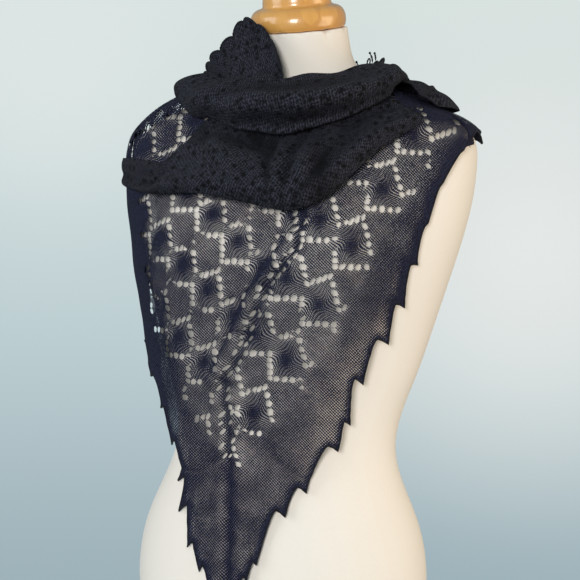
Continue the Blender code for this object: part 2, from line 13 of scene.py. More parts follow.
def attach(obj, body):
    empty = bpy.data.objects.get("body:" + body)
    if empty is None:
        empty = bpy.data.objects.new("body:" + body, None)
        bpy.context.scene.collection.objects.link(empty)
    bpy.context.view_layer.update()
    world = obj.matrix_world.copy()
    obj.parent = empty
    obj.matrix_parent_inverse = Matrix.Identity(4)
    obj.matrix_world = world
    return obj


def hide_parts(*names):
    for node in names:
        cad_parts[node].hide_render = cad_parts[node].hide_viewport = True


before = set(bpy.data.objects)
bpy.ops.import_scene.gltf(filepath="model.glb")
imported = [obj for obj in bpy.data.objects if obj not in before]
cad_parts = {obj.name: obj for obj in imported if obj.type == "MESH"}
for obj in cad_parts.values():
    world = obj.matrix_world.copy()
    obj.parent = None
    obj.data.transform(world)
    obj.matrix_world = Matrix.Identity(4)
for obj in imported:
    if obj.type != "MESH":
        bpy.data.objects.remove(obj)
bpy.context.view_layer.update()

# ---------------------------------------------------------------- driving sizes
CLEAR = 0.0035          # free space between the form and the cloth next to it
WALL = 0.0020           # single layer of lace, as the frame holds it
COWL_WALL = 0.0028
SHEET = 0.0007          # real thickness of the lace
COWL_SHEET = 0.0014     # the cowl's cloth lies double
WING_SHEET = 0.0010
FOLD_SHEET = 0.0012
CORD_SIDES = 6
CORD_TWIST = 0.0032     # length of one turn of the edge's thread
CORD_BULGE = 0.22
KNOTS = 0.8             # how much the thread swells at a sharp turn
LAYER_TOP = 0.616
NECK_AXIS_Y = 0.022
SHOULDER_POINT = 0.560
HANG_RATE = 0.20
HANG_REACH = 41
HANG_STEP = 0.010
TURN_STEP = 0.02
RISE_STEP = 0.004
SIDE_SWING = {"by": 0.0050, "bearing": -86, "height": 0.405, "across": 0.45, "along": 0.070}
SHOULDER_SEAT = {"by": -0.0026, "bearing": 92, "height": 0.590, "across": 0.35, "along": 0.012}
SHOULDER_TENT = {"by": 0.0120, "bearing": -84, "height": 0.600, "across": 0.40, "along": 0.028}

FORM_COLUMNS = ("height", "half_width", "front", "back", "squareness", "axis_y", "tilt")
FORM_LEVELS = (
    (0.0000, 0.1475, 0.104, 0.116, 2.20, -0.010, 0.0),
    (0.0500, 0.1615, 0.112, 0.124, 2.20, -0.011, 0.0),
    (0.0950, 0.1630, 0.111, 0.119, 2.20, -0.011, 0.0),
    (0.1400, 0.1545, 0.104, 0.106, 2.20, -0.010, 0.0),
    (0.1800, 0.1375, 0.094, 0.086, 2.15, -0.008, 0.0),
    (0.2155, 0.1250, 0.088, 0.077, 2.10, -0.005, 0.0),
    (0.2550, 0.1285, 0.090, 0.082, 2.10, 0.000, 0.0),
    (0.3000, 0.1440, 0.094, 0.094, 2.10, 0.006, 0.0),
    (0.3500, 0.1590, 0.098, 0.101, 2.15, 0.011, 0.0),
    (0.4000, 0.1740, 0.104, 0.107, 2.20, 0.014, 0.0),
    (0.4500, 0.1885, 0.107, 0.110, 2.30, 0.017, 0.0),
    (0.4900, 0.1975, 0.105, 0.111, 2.40, 0.019, 0.0),
    (0.5200, 0.2010, 0.099, 0.108, 2.50, 0.019, 0.0),
    (0.5450, 0.2020, 0.090, 0.100, 2.50, 0.020, 0.0),
    (0.5650, 0.1960, 0.080, 0.090, 2.40, 0.021, 0.0),
    (0.5830, 0.1720, 0.071, 0.081, 2.30, 0.022, 2.0),
    (0.6010, 0.1300, 0.063, 0.072, 2.15, 0.023, 4.0),
    (0.6180, 0.0900, 0.057, 0.064, 2.00, 0.022, 7.0),
    (0.6330, 0.0670, 0.053, 0.057, 2.00, 0.020, 10.0),
    (0.6470, 0.0590, 0.052, 0.054, 2.00, 0.017, 12.0),
    (0.6620, 0.0560, 0.052, 0.052, 2.00, 0.014, 14.0),
    (0.6800, 0.0545, 0.052, 0.052, 2.00, 0.010, 15.0),
)
BUST = {"across": 0.080, "height": 0.428, "fullness": 0.030,
        "spread_x": 0.046, "spread_up": 0.062, "spread_down": 0.046}
CLOTH_HOLLOW = 0.36

# The shawl's free edge, from its point up the form's left side, round the back
# and down its right side, with the place where the plain border meets the lace.
EDGE_COLUMNS = ("edge_bearing", "edge_height", "band_bearing", "band_height", "neck_bearing", "picots")
EDGE = (
    (-6.0, 0.052, -13.0, 0.190, 26.0, 1.0),
    (10.5, 0.112, -4.0, 0.205, 31.0, 1.0),
    (25.0, 0.160, 7.0, 0.230, 36.0, 1.0),
    (38.0, 0.190, 20.0, 0.258, 41.0, 1.0),
    (50.5, 0.238, 32.0, 0.300, 46.0, 1.0),
    (55.0, 0.296, 41.0, 0.345, 51.0, 1.0),
    (63.5, 0.345, 48.0, 0.390, 56.0, 1.0),
    (67.0, 0.390, 53.0, 0.435, 61.0, 0.9),
    (69.0, 0.464, 59.0, 0.490, 66.0, 0.15),
    (74.0, 0.515, 66.0, 0.535, 74.0, 0.10),
    (86.0, 0.556, 80.0, 0.574, 86.0, 0.20),
    (104.0, 0.552, 102.0, 0.582, 103.0, 0.8),
    (125.0, 0.530, 124.0, 0.572, 125.0, 1.0),
    (150.0, 0.500, 150.0, 0.553, 150.0, 1.0),
    (180.0, 0.484, 180.0, 0.540, 180.0, 1.0),
    (210.0, 0.478, 210.0, 0.535, 210.0, 1.0),
    (235.0, 0.462, 237.0, 0.520, 236.0, 1.0),
    (255.0, 0.425, 260.0, 0.482, 258.0, 1.0),
    (268.0, 0.370, 275.0, 0.425, 278.0, 1.0),
    (281.0, 0.312, 288.0, 0.362, 300.0, 0.8),
    (294.0, 0.262, 302.0, 0.312, 320.0, 0.5),
    (305.0, 0.208, 318.0, 0.262, 340.0, 0.9),
    (319.0, 0.152, 333.0, 0.222, 358.0, 1.0),
    (334.0, 0.108, 341.0, 0.200, 374.0, 1.0),
    (354.0, 0.052, 347.0, 0.190, 386.0, 1.0),
)
PICOTS_UP_LEFT = (0.0, 0.024, 0.048, 0.067, 0.124, 0.156, 0.211, 0.240, 0.284, 0.333, 0.374, 0.420)
PICOTS_UP_RIGHT = (0.0, 0.026, 0.057, 0.085, 0.126, 0.160)
PICOT_SPACING = 0.044
PICOT_REACH = 0.015
PICOT_HOOK = 0.84
STEPS_PER_PICOT = 14
SHOULDER_LEFT_ROW = 9.6
FRONT_RIGHT_ROW = 18.4

LOWER_COWL_COLUMNS = ("bearing", "top", "hollow", "lip", "belly_out", "lip_out")
LOWER_COWL = (
    (-100.0, 0.576, 0.560, 0.530, 0.0070, 0.0068),
    (-84.0, 0.586, 0.562, 0.514, 0.0075, 0.0070),
    (-64.0, 0.592, 0.562, 0.497, 0.0100, 0.0080),
    (-46.0, 0.586, 0.560, 0.487, 0.0210, 0.0140),
    (-28.0, 0.582, 0.556, 0.484, 0.0300, 0.0190),
    (-10.0, 0.578, 0.550, 0.478, 0.0350, 0.0230),
    (8.0, 0.576, 0.546, 0.471, 0.0380, 0.0250),
    (22.0, 0.576, 0.546, 0.467, 0.0380, 0.0250),
    (34.0, 0.578, 0.552, 0.480, 0.0350, 0.0230),
    (48.0, 0.582, 0.562, 0.515, 0.0290, 0.0190),
    (60.0, 0.586, 0.572, 0.543, 0.0200, 0.0140),
    (70.0, 0.590, 0.580, 0.562, 0.0130, 0.0100),
)
LOWER_COWL_ENDS = (-80.5, 69.5)
LOWER_COWL_SECTIONS = 300
UPPER_COWL_COLUMNS = ("bearing", "crease", "crease_out", "belly_out", "rim_radius", "rim")
UPPER_COWL = (
    (-180.0, 0.584, 0.0080, 0.0080, 0.0880, 0.640),
    (-140.0, 0.590, 0.0080, 0.0080, 0.0930, 0.645),
    (-110.0, 0.602, 0.0085, 0.0050, 0.1030, 0.640),
    (-85.0, 0.611, 0.0085, 0.0050, 0.1060, 0.633),
    (-60.0, 0.581, 0.0120, 0.0070, 0.1040, 0.625),
    (-35.0, 0.561, 0.0215, 0.0125, 0.1010, 0.618),
    (-10.0, 0.549, 0.0230, 0.0130, 0.1000, 0.613),
    (15.0, 0.545, 0.0240, 0.0130, 0.1000, 0.611),
    (40.0, 0.558, 0.0235, 0.0120, 0.1030, 0.618),
    (62.0, 0.583, 0.0190, 0.0080, 0.1080, 0.628),
    (76.0, 0.602, 0.0120, 0.0065, 0.1110, 0.634),
    (92.0, 0.609, 0.0085, 0.0070, 0.1080, 0.637),
    (112.0, 0.605, 0.0078, 0.0070, 0.1030, 0.636),
    (140.0, 0.590, 0.0078, 0.0080, 0.0950, 0.634),
    (180.0, 0.584, 0.0080, 0.0080, 0.0880, 0.640),
)
UPPER_COWL_SECTIONS = 420
RIM_TURN = 0.0080
RIM_DROP = 0.0070
BELLY_OVER_RIM = 0.0040

# ---------------------------------------------------------------- the knitting
# Repeat of the lace on each half of the front: where one repeat starts, the step
# along a staircase of eyelets, and the step to the next staircase.
VIEW_BEARING = 22.0
LEFT_REPEAT = {"start": (-26.5, 0.4465), "along": (0.0283, -0.0262), "across": (-0.0295, -0.0510)}
RIGHT_REPEAT = {"start": (37.0, 0.4173), "along": (0.0330, -0.0256), "across": (-0.0300, -0.0585)}
SECOND_CORNER = (-0.0260, -0.0178)    # from a corner of one staircase to one of the next
EYELETS_PER_SIDE = 4
STITCH_WIDTH = 0.00205
STITCH_HEIGHT = 0.00245
GRAIN_ANGLE = 43.0
EYELET_SIDES = 10
FILL_SPACING = 0.0031


# ---------------------------------------------------------------- tables
def read_table(rows, column):
    table = np.array(rows, float)
    places = table[:, 0]
    values = table[:, column]
    slopes = np.gradient(values, places)

    def value(place):
        place = np.asarray(place, float)
        step = np.clip(np.searchsorted(places, place) - 1, 0, len(places) - 2)
        length = places[step + 1] - places[step]
        t = np.clip((place - places[step]) / length, 0.0, 1.0)
        start = (2 * t**3 - 3 * t**2 + 1) * values[step] + (t**3 - 2 * t**2 + t) * length * slopes[step]
        end = (3 * t**2 - 2 * t**3) * values[step + 1] + (t**3 - t**2) * length * slopes[step + 1]
        return start + end
    return value


def read_columns(rows, names):
    return {name: read_table(rows, column) for column, name in enumerate(names) if column}


FORM = read_columns(FORM_LEVELS, FORM_COLUMNS)


def smooth(low, high, value):
    t = np.clip((np.asarray(value, float) - low) / (high - low), 0, 1)
    return t * t * (3 - 2 * t)


def hill(value, middle, spread):
    return np.exp(-((np.asarray(value, float) - middle) / spread)**2)


# ---------------------------------------------------------------- the form's surface
def form_radius(bearing, height):
    cos_b = np.cos(bearing)
    sin_b = np.sin(bearing)
    depth = np.where(cos_b > 0, FORM["front"](height), FORM["back"](height))
    power = FORM["squareness"](height)
    radius = (np.abs(sin_b / FORM["half_width"](height))**power + np.abs(cos_b / depth)**power)**(-1 / power)
    beyond = np.abs(radius * sin_b) - BUST["across"]
    inside = np.clip(-beyond / BUST["across"], 0, 1)
    across = np.where(beyond > 0, np.exp(-(beyond / BUST["spread_x"])**2 / 2),
                      1 - CLOTH_HOLLOW * inside**2 * (3 - 2 * inside))
    above = height - BUST["height"]
    along = above / np.where(above > 0, BUST["spread_up"], BUST["spread_down"])
    return radius + BUST["fullness"] * across * np.exp(-along**2 / 2) * np.clip(cos_b, 0, 1)


def swell(place, bearing, height):
    across = (bearing - math.radians(place["bearing"])) / place["across"]
    along = (height - place["height"]) / place["along"]
    return place["by"] * np.exp(-across**2 - along**2)


def hang_radius(bearing, height):
    radius = form_radius(bearing, height)
    for step in range(1, HANG_REACH):
        drop = step * HANG_STEP
        above = np.maximum(height, np.minimum(height + drop, SHOULDER_POINT))
        fall = HANG_RATE * (above - height)
        radius = np.maximum(radius, form_radius(bearing, above) - fall)
    return radius + swell(SIDE_SWING, bearing, height)


def place(bearing, height, radius):
    axis_y = FORM["axis_y"](height)
    tilt = np.tan(np.radians(FORM["tilt"](height)))
    x = radius * np.sin(bearing)
    y = -radius * np.cos(bearing)
    return np.stack([x, y + axis_y, height + y * tilt], axis=-1)


def unit(vector):
    return vector / np.maximum(np.linalg.norm(vector, axis=-1, keepdims=True), 1e-12)


def wrap(bearing):
    return (bearing + math.pi) % (2 * math.pi) - math.pi


def lie(bearing_degrees, height, stand_off):
    """A point that lies on the form, moved out along the surface's own normal."""
    bearing = wrap(np.radians(np.asarray(bearing_degrees, float)))
    height = np.asarray(height, float)

    def hung(turned, raised):
        return place(bearing + turned, height + raised, hang_radius(bearing + turned, height + raised))

    turn = hung(TURN_STEP, 0) - hung(-TURN_STEP, 0)
    rise = hung(0, RISE_STEP) - hung(0, -RISE_STEP)
    out = unit(np.cross(turn, rise))
    moved = swell(SHOULDER_SEAT, bearing, height) + swell(SHOULDER_TENT, bearing, height)
    stand_off = np.asarray(stand_off, float) + moved
    return hung(0, 0) + out * stand_off[..., None]


def round_neck(bearing_degrees, radius, height):
    bearing = np.radians(np.asarray(bearing_degrees, float))
    radius = np.asarray(radius, float)
    height = np.asarray(height, float)
    return np.stack([radius * np.sin(bearing), NECK_AXIS_Y - radius * np.cos(bearing), height], axis=-1)


def waves(points, size, seed):
    """Slow unevenness from a few crossing waves, the same on every run."""
    points = np.asarray(points, float) / size
    draw = np.random.default_rng(seed)
    total = np.zeros(points.shape[:-1])
    for _ in range(7):
        direction = draw.normal(size=points.shape[-1])
        direction *= draw.uniform(0.6, 1.5) / np.linalg.norm(direction)
        total += np.sin(points @ direction * 2 * math.pi + draw.uniform(0, 2 * math.pi))
    return total / 7


# ---------------------------------------------------------------- flat places on the lowest layer
BEARING_STEPS = 361
HEIGHT_STEPS = 245
FLAT_HEIGHTS = (0.030, 0.640)


def steps_into(table, value):
    """How many steps a value lies along an even table, always short of its end."""
    return np.clip((value - table[0]) / (table[1] - table[0]), 0, len(table) - 1.001)


class Unrolled:
    """Turns places on the lowest layer into flat places and back. Across a flat
    place is the way round the form from a middle bearing, and its height is kept."""

    def __init__(self, middle, first, last, least):
        self.bearings = np.linspace(first, last, BEARING_STEPS)
        self.heights = np.linspace(*FLAT_HEIGHTS, HEIGHT_STEPS)
        bearing, height = np.meshgrid(self.bearings, self.heights)
        points = lie(bearing, height, np.full(bearing.shape, CLEAR))
        step = np.diff(points, axis=1)
        facing = np.array([math.cos(math.radians(middle)), math.sin(math.radians(middle)), 0.0])
        length = np.linalg.norm(step[..., :2], axis=-1)
        width = np.maximum(step @ facing, length * least)
        across = np.concatenate([np.zeros((len(self.heights), 1)), np.cumsum(width, axis=1)], axis=1)
        start = np.array([np.interp(middle, self.bearings, row) for row in across])
        self.across = across - start[:, None]

    def flat(self, bearing, height):
        bearing = np.asarray(bearing, float)
        height = np.asarray(height, float)
        column = steps_into(self.bearings, bearing)
        row = steps_into(self.heights, height)
        i, j = row.astype(int), column.astype(int)
        a, b = row - i, column - j
        table = self.across
        value = ((table[i, j] * (1 - b) + table[i, j + 1] * b) * (1 - a)
                 + (table[i + 1, j] * (1 - b) + table[i + 1, j + 1] * b) * a)
        return np.stack([value, height], axis=-1)

    def round(self, flat):
        """Bearing in degrees and height of flat places."""
        flat = np.asarray(flat, float)
        row = steps_into(self.heights, flat[:, 1])
        i = row.astype(int)
        a = (row - i)[:, None]
        line = self.across[i] * (1 - a) + self.across[i + 1] * a
        j = np.clip((line < flat[:, :1]).sum(axis=1) - 1, 0, BEARING_STEPS - 2)
        k = np.arange(len(flat))
        b = (flat[:, 0] - line[k, j]) / np.maximum(line[k, j + 1] - line[k, j], 1e-9)
        return self.bearings[j] + np.clip(b, 0, 1) * (self.bearings[1] - self.bearings[0]), flat[:, 1]


class BackFlat(Unrolled):
    """The back, unrolled from its middle, with bearings that count from it."""

    def __init__(self):
        self.bearings = np.linspace(-98, 98, BEARING_STEPS)
        self.heights = np.linspace(*FLAT_HEIGHTS, HEIGHT_STEPS)
        bearing, height = np.meshgrid(self.bearings + 180, self.heights)
        points = lie(bearing, height, np.full(bearing.shape, CLEAR))
        length = np.linalg.norm(np.diff(points, axis=1)[..., :2], axis=-1)
        across = np.concatenate([np.zeros((len(self.heights), 1)), np.cumsum(length, axis=1)], axis=1)
        middle = BEARING_STEPS // 2
        self.across = across - across[:, middle:middle + 1]


# ---------------------------------------------------------------- the free edge
EDGE_ROWS = tuple((row, *values) for row, values in enumerate(EDGE))
EDGE_LINE = {name: read_table(EDGE_ROWS, column + 1) for column, name in enumerate(EDGE_COLUMNS)}


def edge_lengths():
    rows = np.linspace(0, len(EDGE) - 1, 600)
    points = lie(EDGE_LINE["edge_bearing"](rows), EDGE_LINE["edge_height"](rows), CLEAR)
    steps = np.linalg.norm(np.diff(points, axis=0), axis=1)
    return rows, np.concatenate([[0.0], np.cumsum(steps)])


def picot_points():
    rows, lengths = edge_lengths()
    total = lengths[-1]
    first = PICOTS_UP_LEFT[-1]
    last = total - PICOTS_UP_RIGHT[-1]
    between = np.linspace(first, last, round((last - first) / PICOT_SPACING) + 1)[1:-1]
    points = np.concatenate([PICOTS_UP_LEFT, between, total - np.array(PICOTS_UP_RIGHT[::-1])])
    return np.interp(points, lengths, rows), points


def drawn_in(part):
    """How far the edge draws in between a picot point and the next one up."""
    if part < PICOT_HOOK:
        return 1 - ((PICOT_HOOK - part) / PICOT_HOOK)**1.8
    return 1 - ((part - PICOT_HOOK) / (1 - PICOT_HOOK))**1.2


def edge_line(first_row, last_row):
    """Bearing and height along the free edge with its picots, and on the border's
    inner line, side by side."""
    rows, lengths = edge_lengths()
    tip_rows, tips = picot_points()
    distances = []
    depths = []
    for start, stop, row in zip(tips[:-1], tips[1:], tip_rows[:-1]):
        upwards = row < len(EDGE) / 2
        depth = PICOT_REACH * min(1.0, (stop - start) / PICOT_SPACING)
        for part in np.arange(STEPS_PER_PICOT) / STEPS_PER_PICOT:
            distances.append(start + (stop - start) * part)
            depths.append(depth * drawn_in(part if upwards else 1 - part))
    distances.append(tips[-1])
    depths.append(0.0)
    rows = np.interp(distances, lengths, rows)
    inside = (rows > first_row) & (rows < last_row)
    rows = np.concatenate([[first_row], rows[inside], [last_row]])
    depths = np.concatenate([[0.0], np.array(depths)[inside], [0.0]])
    line = {name: value(rows) for name, value in EDGE_LINE.items()}
    edge = np.stack([line["edge_bearing"], line["edge_height"]], axis=-1)
    band = np.stack([line["band_bearing"], line["band_height"]], axis=-1)
    inward = band - edge
    radius = form_radius(wrap(np.radians(edge[:, 0])), edge[:, 1])
    metric = np.stack([np.radians(inward[:, 0]) * radius, inward[:, 1]], axis=-1)
    depths = depths * line["picots"] / np.linalg.norm(metric, axis=-1)
    return edge + inward * depths[:, None], band


# ---------------------------------------------------------------- flat lace
def inside_outline(points, outline):
    crossed = np.zeros(len(points), bool)
    x, y = points[:, 0], points[:, 1]
    for (x0, y0), (x1, y1) in zip(outline, np.roll(outline, -1, axis=0)):
        if y0 == y1:
            continue
        hit = (y0 > y) != (y1 > y)
        crossed ^= hit & (x < (x1 - x0) * (y - y0) / (y1 - y0) + x0)
    return crossed


def nearest(points, others, most=0.02):
    """Distance from each point to the closest of the others."""
    best = np.full(len(points), most)
    for start in range(0, len(others), 64):
        block = others[start:start + 64]
        gap = np.sqrt(((points[:, None] - block[None])**2).sum(axis=-1)).min(axis=1)
        best = np.minimum(best, gap)
    return best


def repeat_points(repeat, start, reach=14):
    """Eyelets and fan centres of one half of the lace, as flat places. An eyelet
    has a place, a half width, a half height and a lean."""
    along = np.array(repeat["along"])
    across = np.array(repeat["across"])
    side = np.array([along[0], 0.0])
    down = along - side
    eyelets = []
    fans = []
    for i in range(-reach, reach):
        for j in range(-reach, reach):
            corner = start + i * along + j * across
            for k in range(1, EYELETS_PER_SIDE + 1):
                t = k / EYELETS_PER_SIDE
                eyelets.append((*(corner + side * t), 0.00225, 0.00250, -0.10))
                leaning = np.array([0.0012, 0]) * t
                eyelets.append((*(corner + side + down * t + leaning), 0.0024, 0.0023, 0.20))
            second = corner + np.array(SECOND_CORNER)
            rise = np.array([0.0235, 0.0085])
            fall = along - rise
            for k in range(1, EYELETS_PER_SIDE + 1):
                t = k / EYELETS_PER_SIDE
                eyelets.append((*(second + rise * t), 0.00185, 0.0030, -0.35))
                eyelets.append((*(second + rise + fall * t), 0.0024, 0.0024, 0.25))
            fans.append(corner + side + np.array([0.0165, -0.0050]))
    return eyelets, fans


def ring(place, half_width, half_height, lean):
    turns = np.linspace(0, 2 * math.pi, EYELET_SIDES, endpoint=False)
    x = np.sign(np.cos(turns)) * np.abs(np.cos(turns))**0.85 * half_width
    y = np.sign(np.sin(turns)) * np.abs(np.sin(turns))**0.85 * half_height
    return np.stack([place[0] + x - lean * y, place[1] + y], axis=-1)


def triangulated(outline, holes):
    """Flat triangles that fill an outline round its holes."""
    low, high = outline.min(axis=0), outline.max(axis=0)
    rows = np.arange(low[1], high[1], FILL_SPACING * 0.866)
    fill = []
    for index, y in enumerate(rows):
        x = np.arange(low[0] + (index % 2) * FILL_SPACING / 2, high[0], FILL_SPACING)
        fill.append(np.stack([x, np.full(len(x), y)], axis=-1))
    fill = np.concatenate(fill)
    fill = fill[inside_outline(fill, outline)]
    fill = fill[nearest(fill, outline) > FILL_SPACING * 0.45]
    if len(holes):
        centres = np.array([hole.mean(axis=0) for hole in holes])
        fill = fill[nearest(fill, centres) > HOLE_KEEPS_OFF]
    points = [tuple(point) for point in outline]
    edges = [(k, (k + 1) % len(outline)) for k in range(len(outline))]
    owner = [-1] * len(outline)
    for number, hole in enumerate(holes):
        first = len(points)
        points += [tuple(point) for point in hole]
        edges += [(first + k, first + (k + 1) % len(hole)) for k in range(len(hole))]
        owner += [number] * len(hole)
    points += [tuple(point) for point in fill]
    owner += [-2] * len(fill)
    made = geometry.delaunay_2d_cdt([Vector(point) for point in points], edges, [], 0, 1e-7)
    flat = np.array([tuple(point) for point in made[0]])
    owners = np.array([owner[ids[0]] if ids else -3 for ids in made[3]])
    faces = np.array([face for face in made[2]])
    middle = flat[faces].mean(axis=1)
    in_hole = (owners[faces[:, 0]] >= 0) & (owners[faces[:, 0]] == owners[faces[:, 1]]) \
        & (owners[faces[:, 1]] == owners[faces[:, 2]])
    kept = inside_outline(middle, outline) & ~in_hole
    return flat, faces[kept]


# ---------------------------------------------------------------- meshes
def add_piece(name, points, faces, stitches=None, closeness=None, shade=None, depth=None):
    """A mesh with its own stitch places, how closely it is knitted, and painted shade:
    how dark a fold's shadow is painted into its colour."""
    mesh = bpy.data.meshes.new(name)
    mesh.from_pydata([tuple(point) for point in points], [], [tuple(map(int, face)) for face in faces])
    if stitches is not None:
        layer = mesh.uv_layers.new(name="knit")
        corners = np.empty(len(mesh.loops), np.int32)
        mesh.loops.foreach_get("vertex_index", corners)
        layer.data.foreach_set("uv", np.asarray(stitches, np.float32)[corners].ravel())
    if closeness is not None:
        attribute = mesh.attributes.new("close", "FLOAT", "POINT")
        attribute.data.foreach_set("value", np.asarray(closeness, np.float32))
    # painted shade: how much of a fold's shadow is painted into the colour
    if depth is not None:
        attribute = mesh.attributes.new("painted_shade", "FLOAT", "POINT")
        attribute.data.foreach_set("value", np.clip(depth, 0, 1).astype(np.float32))
    mesh.shade_smooth()
    if shade is not None:
        mesh.materials.append(shade)
    piece = bpy.data.objects.new(name, mesh)
    bpy.context.scene.collection.objects.link(piece)
    return piece


def finish_modifiers(piece):
    bpy.ops.object.select_all(action="DESELECT")
    bpy.context.view_layer.objects.active = piece
    piece.select_set(True)
    for modifier in list(piece.modifiers):
        bpy.ops.object.modifier_apply(modifier=modifier.name)
    piece.select_set(False)


def shell(piece, thickness):
    """Gives a sheet its thickness, evenly to both sides."""
    modifier = piece.modifiers.new("thickness", "SOLIDIFY")
    modifier.thickness = thickness
    modifier.offset = 0.0
    modifier.use_even_offset = False
    finish_modifiers(piece)
    return piece


def grid_faces(rows, columns, closed=False):
    faces = []
    spans = columns if closed else columns - 1
    for row in range(rows - 1):
        for column in range(spans):
            a = row * columns + column
            b = (row + 1) * columns + column
            c = (row + 1) * columns + (column + 1) % columns
            d = row * columns + (column + 1) % columns
            faces.append((a, b, c, d))
    return faces


def cord_mesh(line, radius, knots=KNOTS):
    """Points and faces of a twisted yarn or edge that follows a line."""
    line = np.asarray(line, float)
    along = unit(np.gradient(line, axis=0))
    distance = np.concatenate([[0], np.cumsum(np.linalg.norm(np.diff(line, axis=0), axis=1))])
    side = unit(np.cross(along[0], (0.13, 0.29, 0.95)))
    steps = unit(np.diff(line, axis=0))
    turning = np.concatenate([[1.0], (steps[1:] * steps[:-1]).sum(axis=1), [1.0]])
    knot = 1 + knots * smooth(0.80, 0.30, turning)
    points = []
    for index, centre in enumerate(line):
        side = unit(side - along[index] * (side @ along[index]))
        other = np.cross(along[index], side)
        taper = min(1.0, 0.35 + 0.65 * min(index, len(line) - 1 - index) / 2)
        for corner in range(CORD_SIDES):
            angle = 2 * math.pi * corner / CORD_SIDES
            bulge = 1 + CORD_BULGE * math.cos(2 * angle - 2 * math.pi * distance[index] / CORD_TWIST)
            outwards = side * math.cos(angle) + other * math.sin(angle)
            points.append(centre + outwards * radius * bulge * taper * knot[index])
    faces = [tuple(reversed(face)) for face in grid_faces(len(line), CORD_SIDES, closed=True)]
    last = (len(line) - 1) * CORD_SIDES
    faces.append(tuple(range(CORD_SIDES)))
    faces.append(tuple(reversed(range(last, last + CORD_SIDES))))
    return np.array(points), faces


def joined(meshes):
    points = []
    faces = []
    for part_points, part_faces in meshes:
        shift = len(points)
        points.extend(part_points)
        faces.extend(tuple(index + shift for index in face) for face in part_faces)
    return np.array(points), faces


# ---------------------------------------------------------------- materials
class Nodes:
    """A short way to write a material's nodes."""

    def __init__(self, name):
        self.material = bpy.data.materials.new(name)
        self.material.use_nodes = True
        self.tree = self.material.node_tree
        self.shader = self.tree.nodes["Principled BSDF"]

    def add(self, kind, **values):
        node = self.tree.nodes.new(kind)
        for key, value in values.items():
            setattr(node, key, value)
        return node

    def link(self, source, target):
        self.tree.links.new(source, target)

    def feed(self, socket, value):
        if isinstance(value, bpy.types.NodeSocket):
            self.link(value, socket)
        else:
            socket.default_value = value

    def math(self, operation, a, b=0.0, c=0.0, clamp=False):
        node = self.add("ShaderNodeMath", operation=operation, use_clamp=clamp)
        self.feed(node.inputs[0], a)
        self.feed(node.inputs[1], b)
        self.feed(node.inputs[2], c)
        return node.outputs[0]

    def noise(self, vector, scale, detail=2.0, roughness=0.5):
        node = self.add("ShaderNodeTexNoise")
        self.link(vector, node.inputs["Vector"])
        node.inputs["Scale"].default_value = scale
        node.inputs["Detail"].default_value = detail
        node.inputs["Roughness"].default_value = roughness
        return node.outputs["Fac"]

    def mix(self, factor, a, b):
        node = self.add("ShaderNodeMix", data_type="RGBA")
        self.feed(node.inputs[0], factor)
        self.feed(node.inputs[6], (*a, 1.0) if isinstance(a, tuple) else a)
        self.feed(node.inputs[7], (*b, 1.0) if isinstance(b, tuple) else b)
        return node.outputs[2]

    def place(self):
        return self.add("ShaderNodeTexCoord").outputs["Object"]

    def bump(self, height, strength, distance):
        node = self.add("ShaderNodeBump")
        self.link(height, node.inputs["Height"])
        node.inputs["Strength"].default_value = strength
        node.inputs["Distance"].default_value = distance
        self.link(node.outputs[0], self.shader.inputs["Normal"])

    def set(self, **values):
        for name, value in values.items():
            self.shader.inputs[name.replace("_", " ")].default_value = value


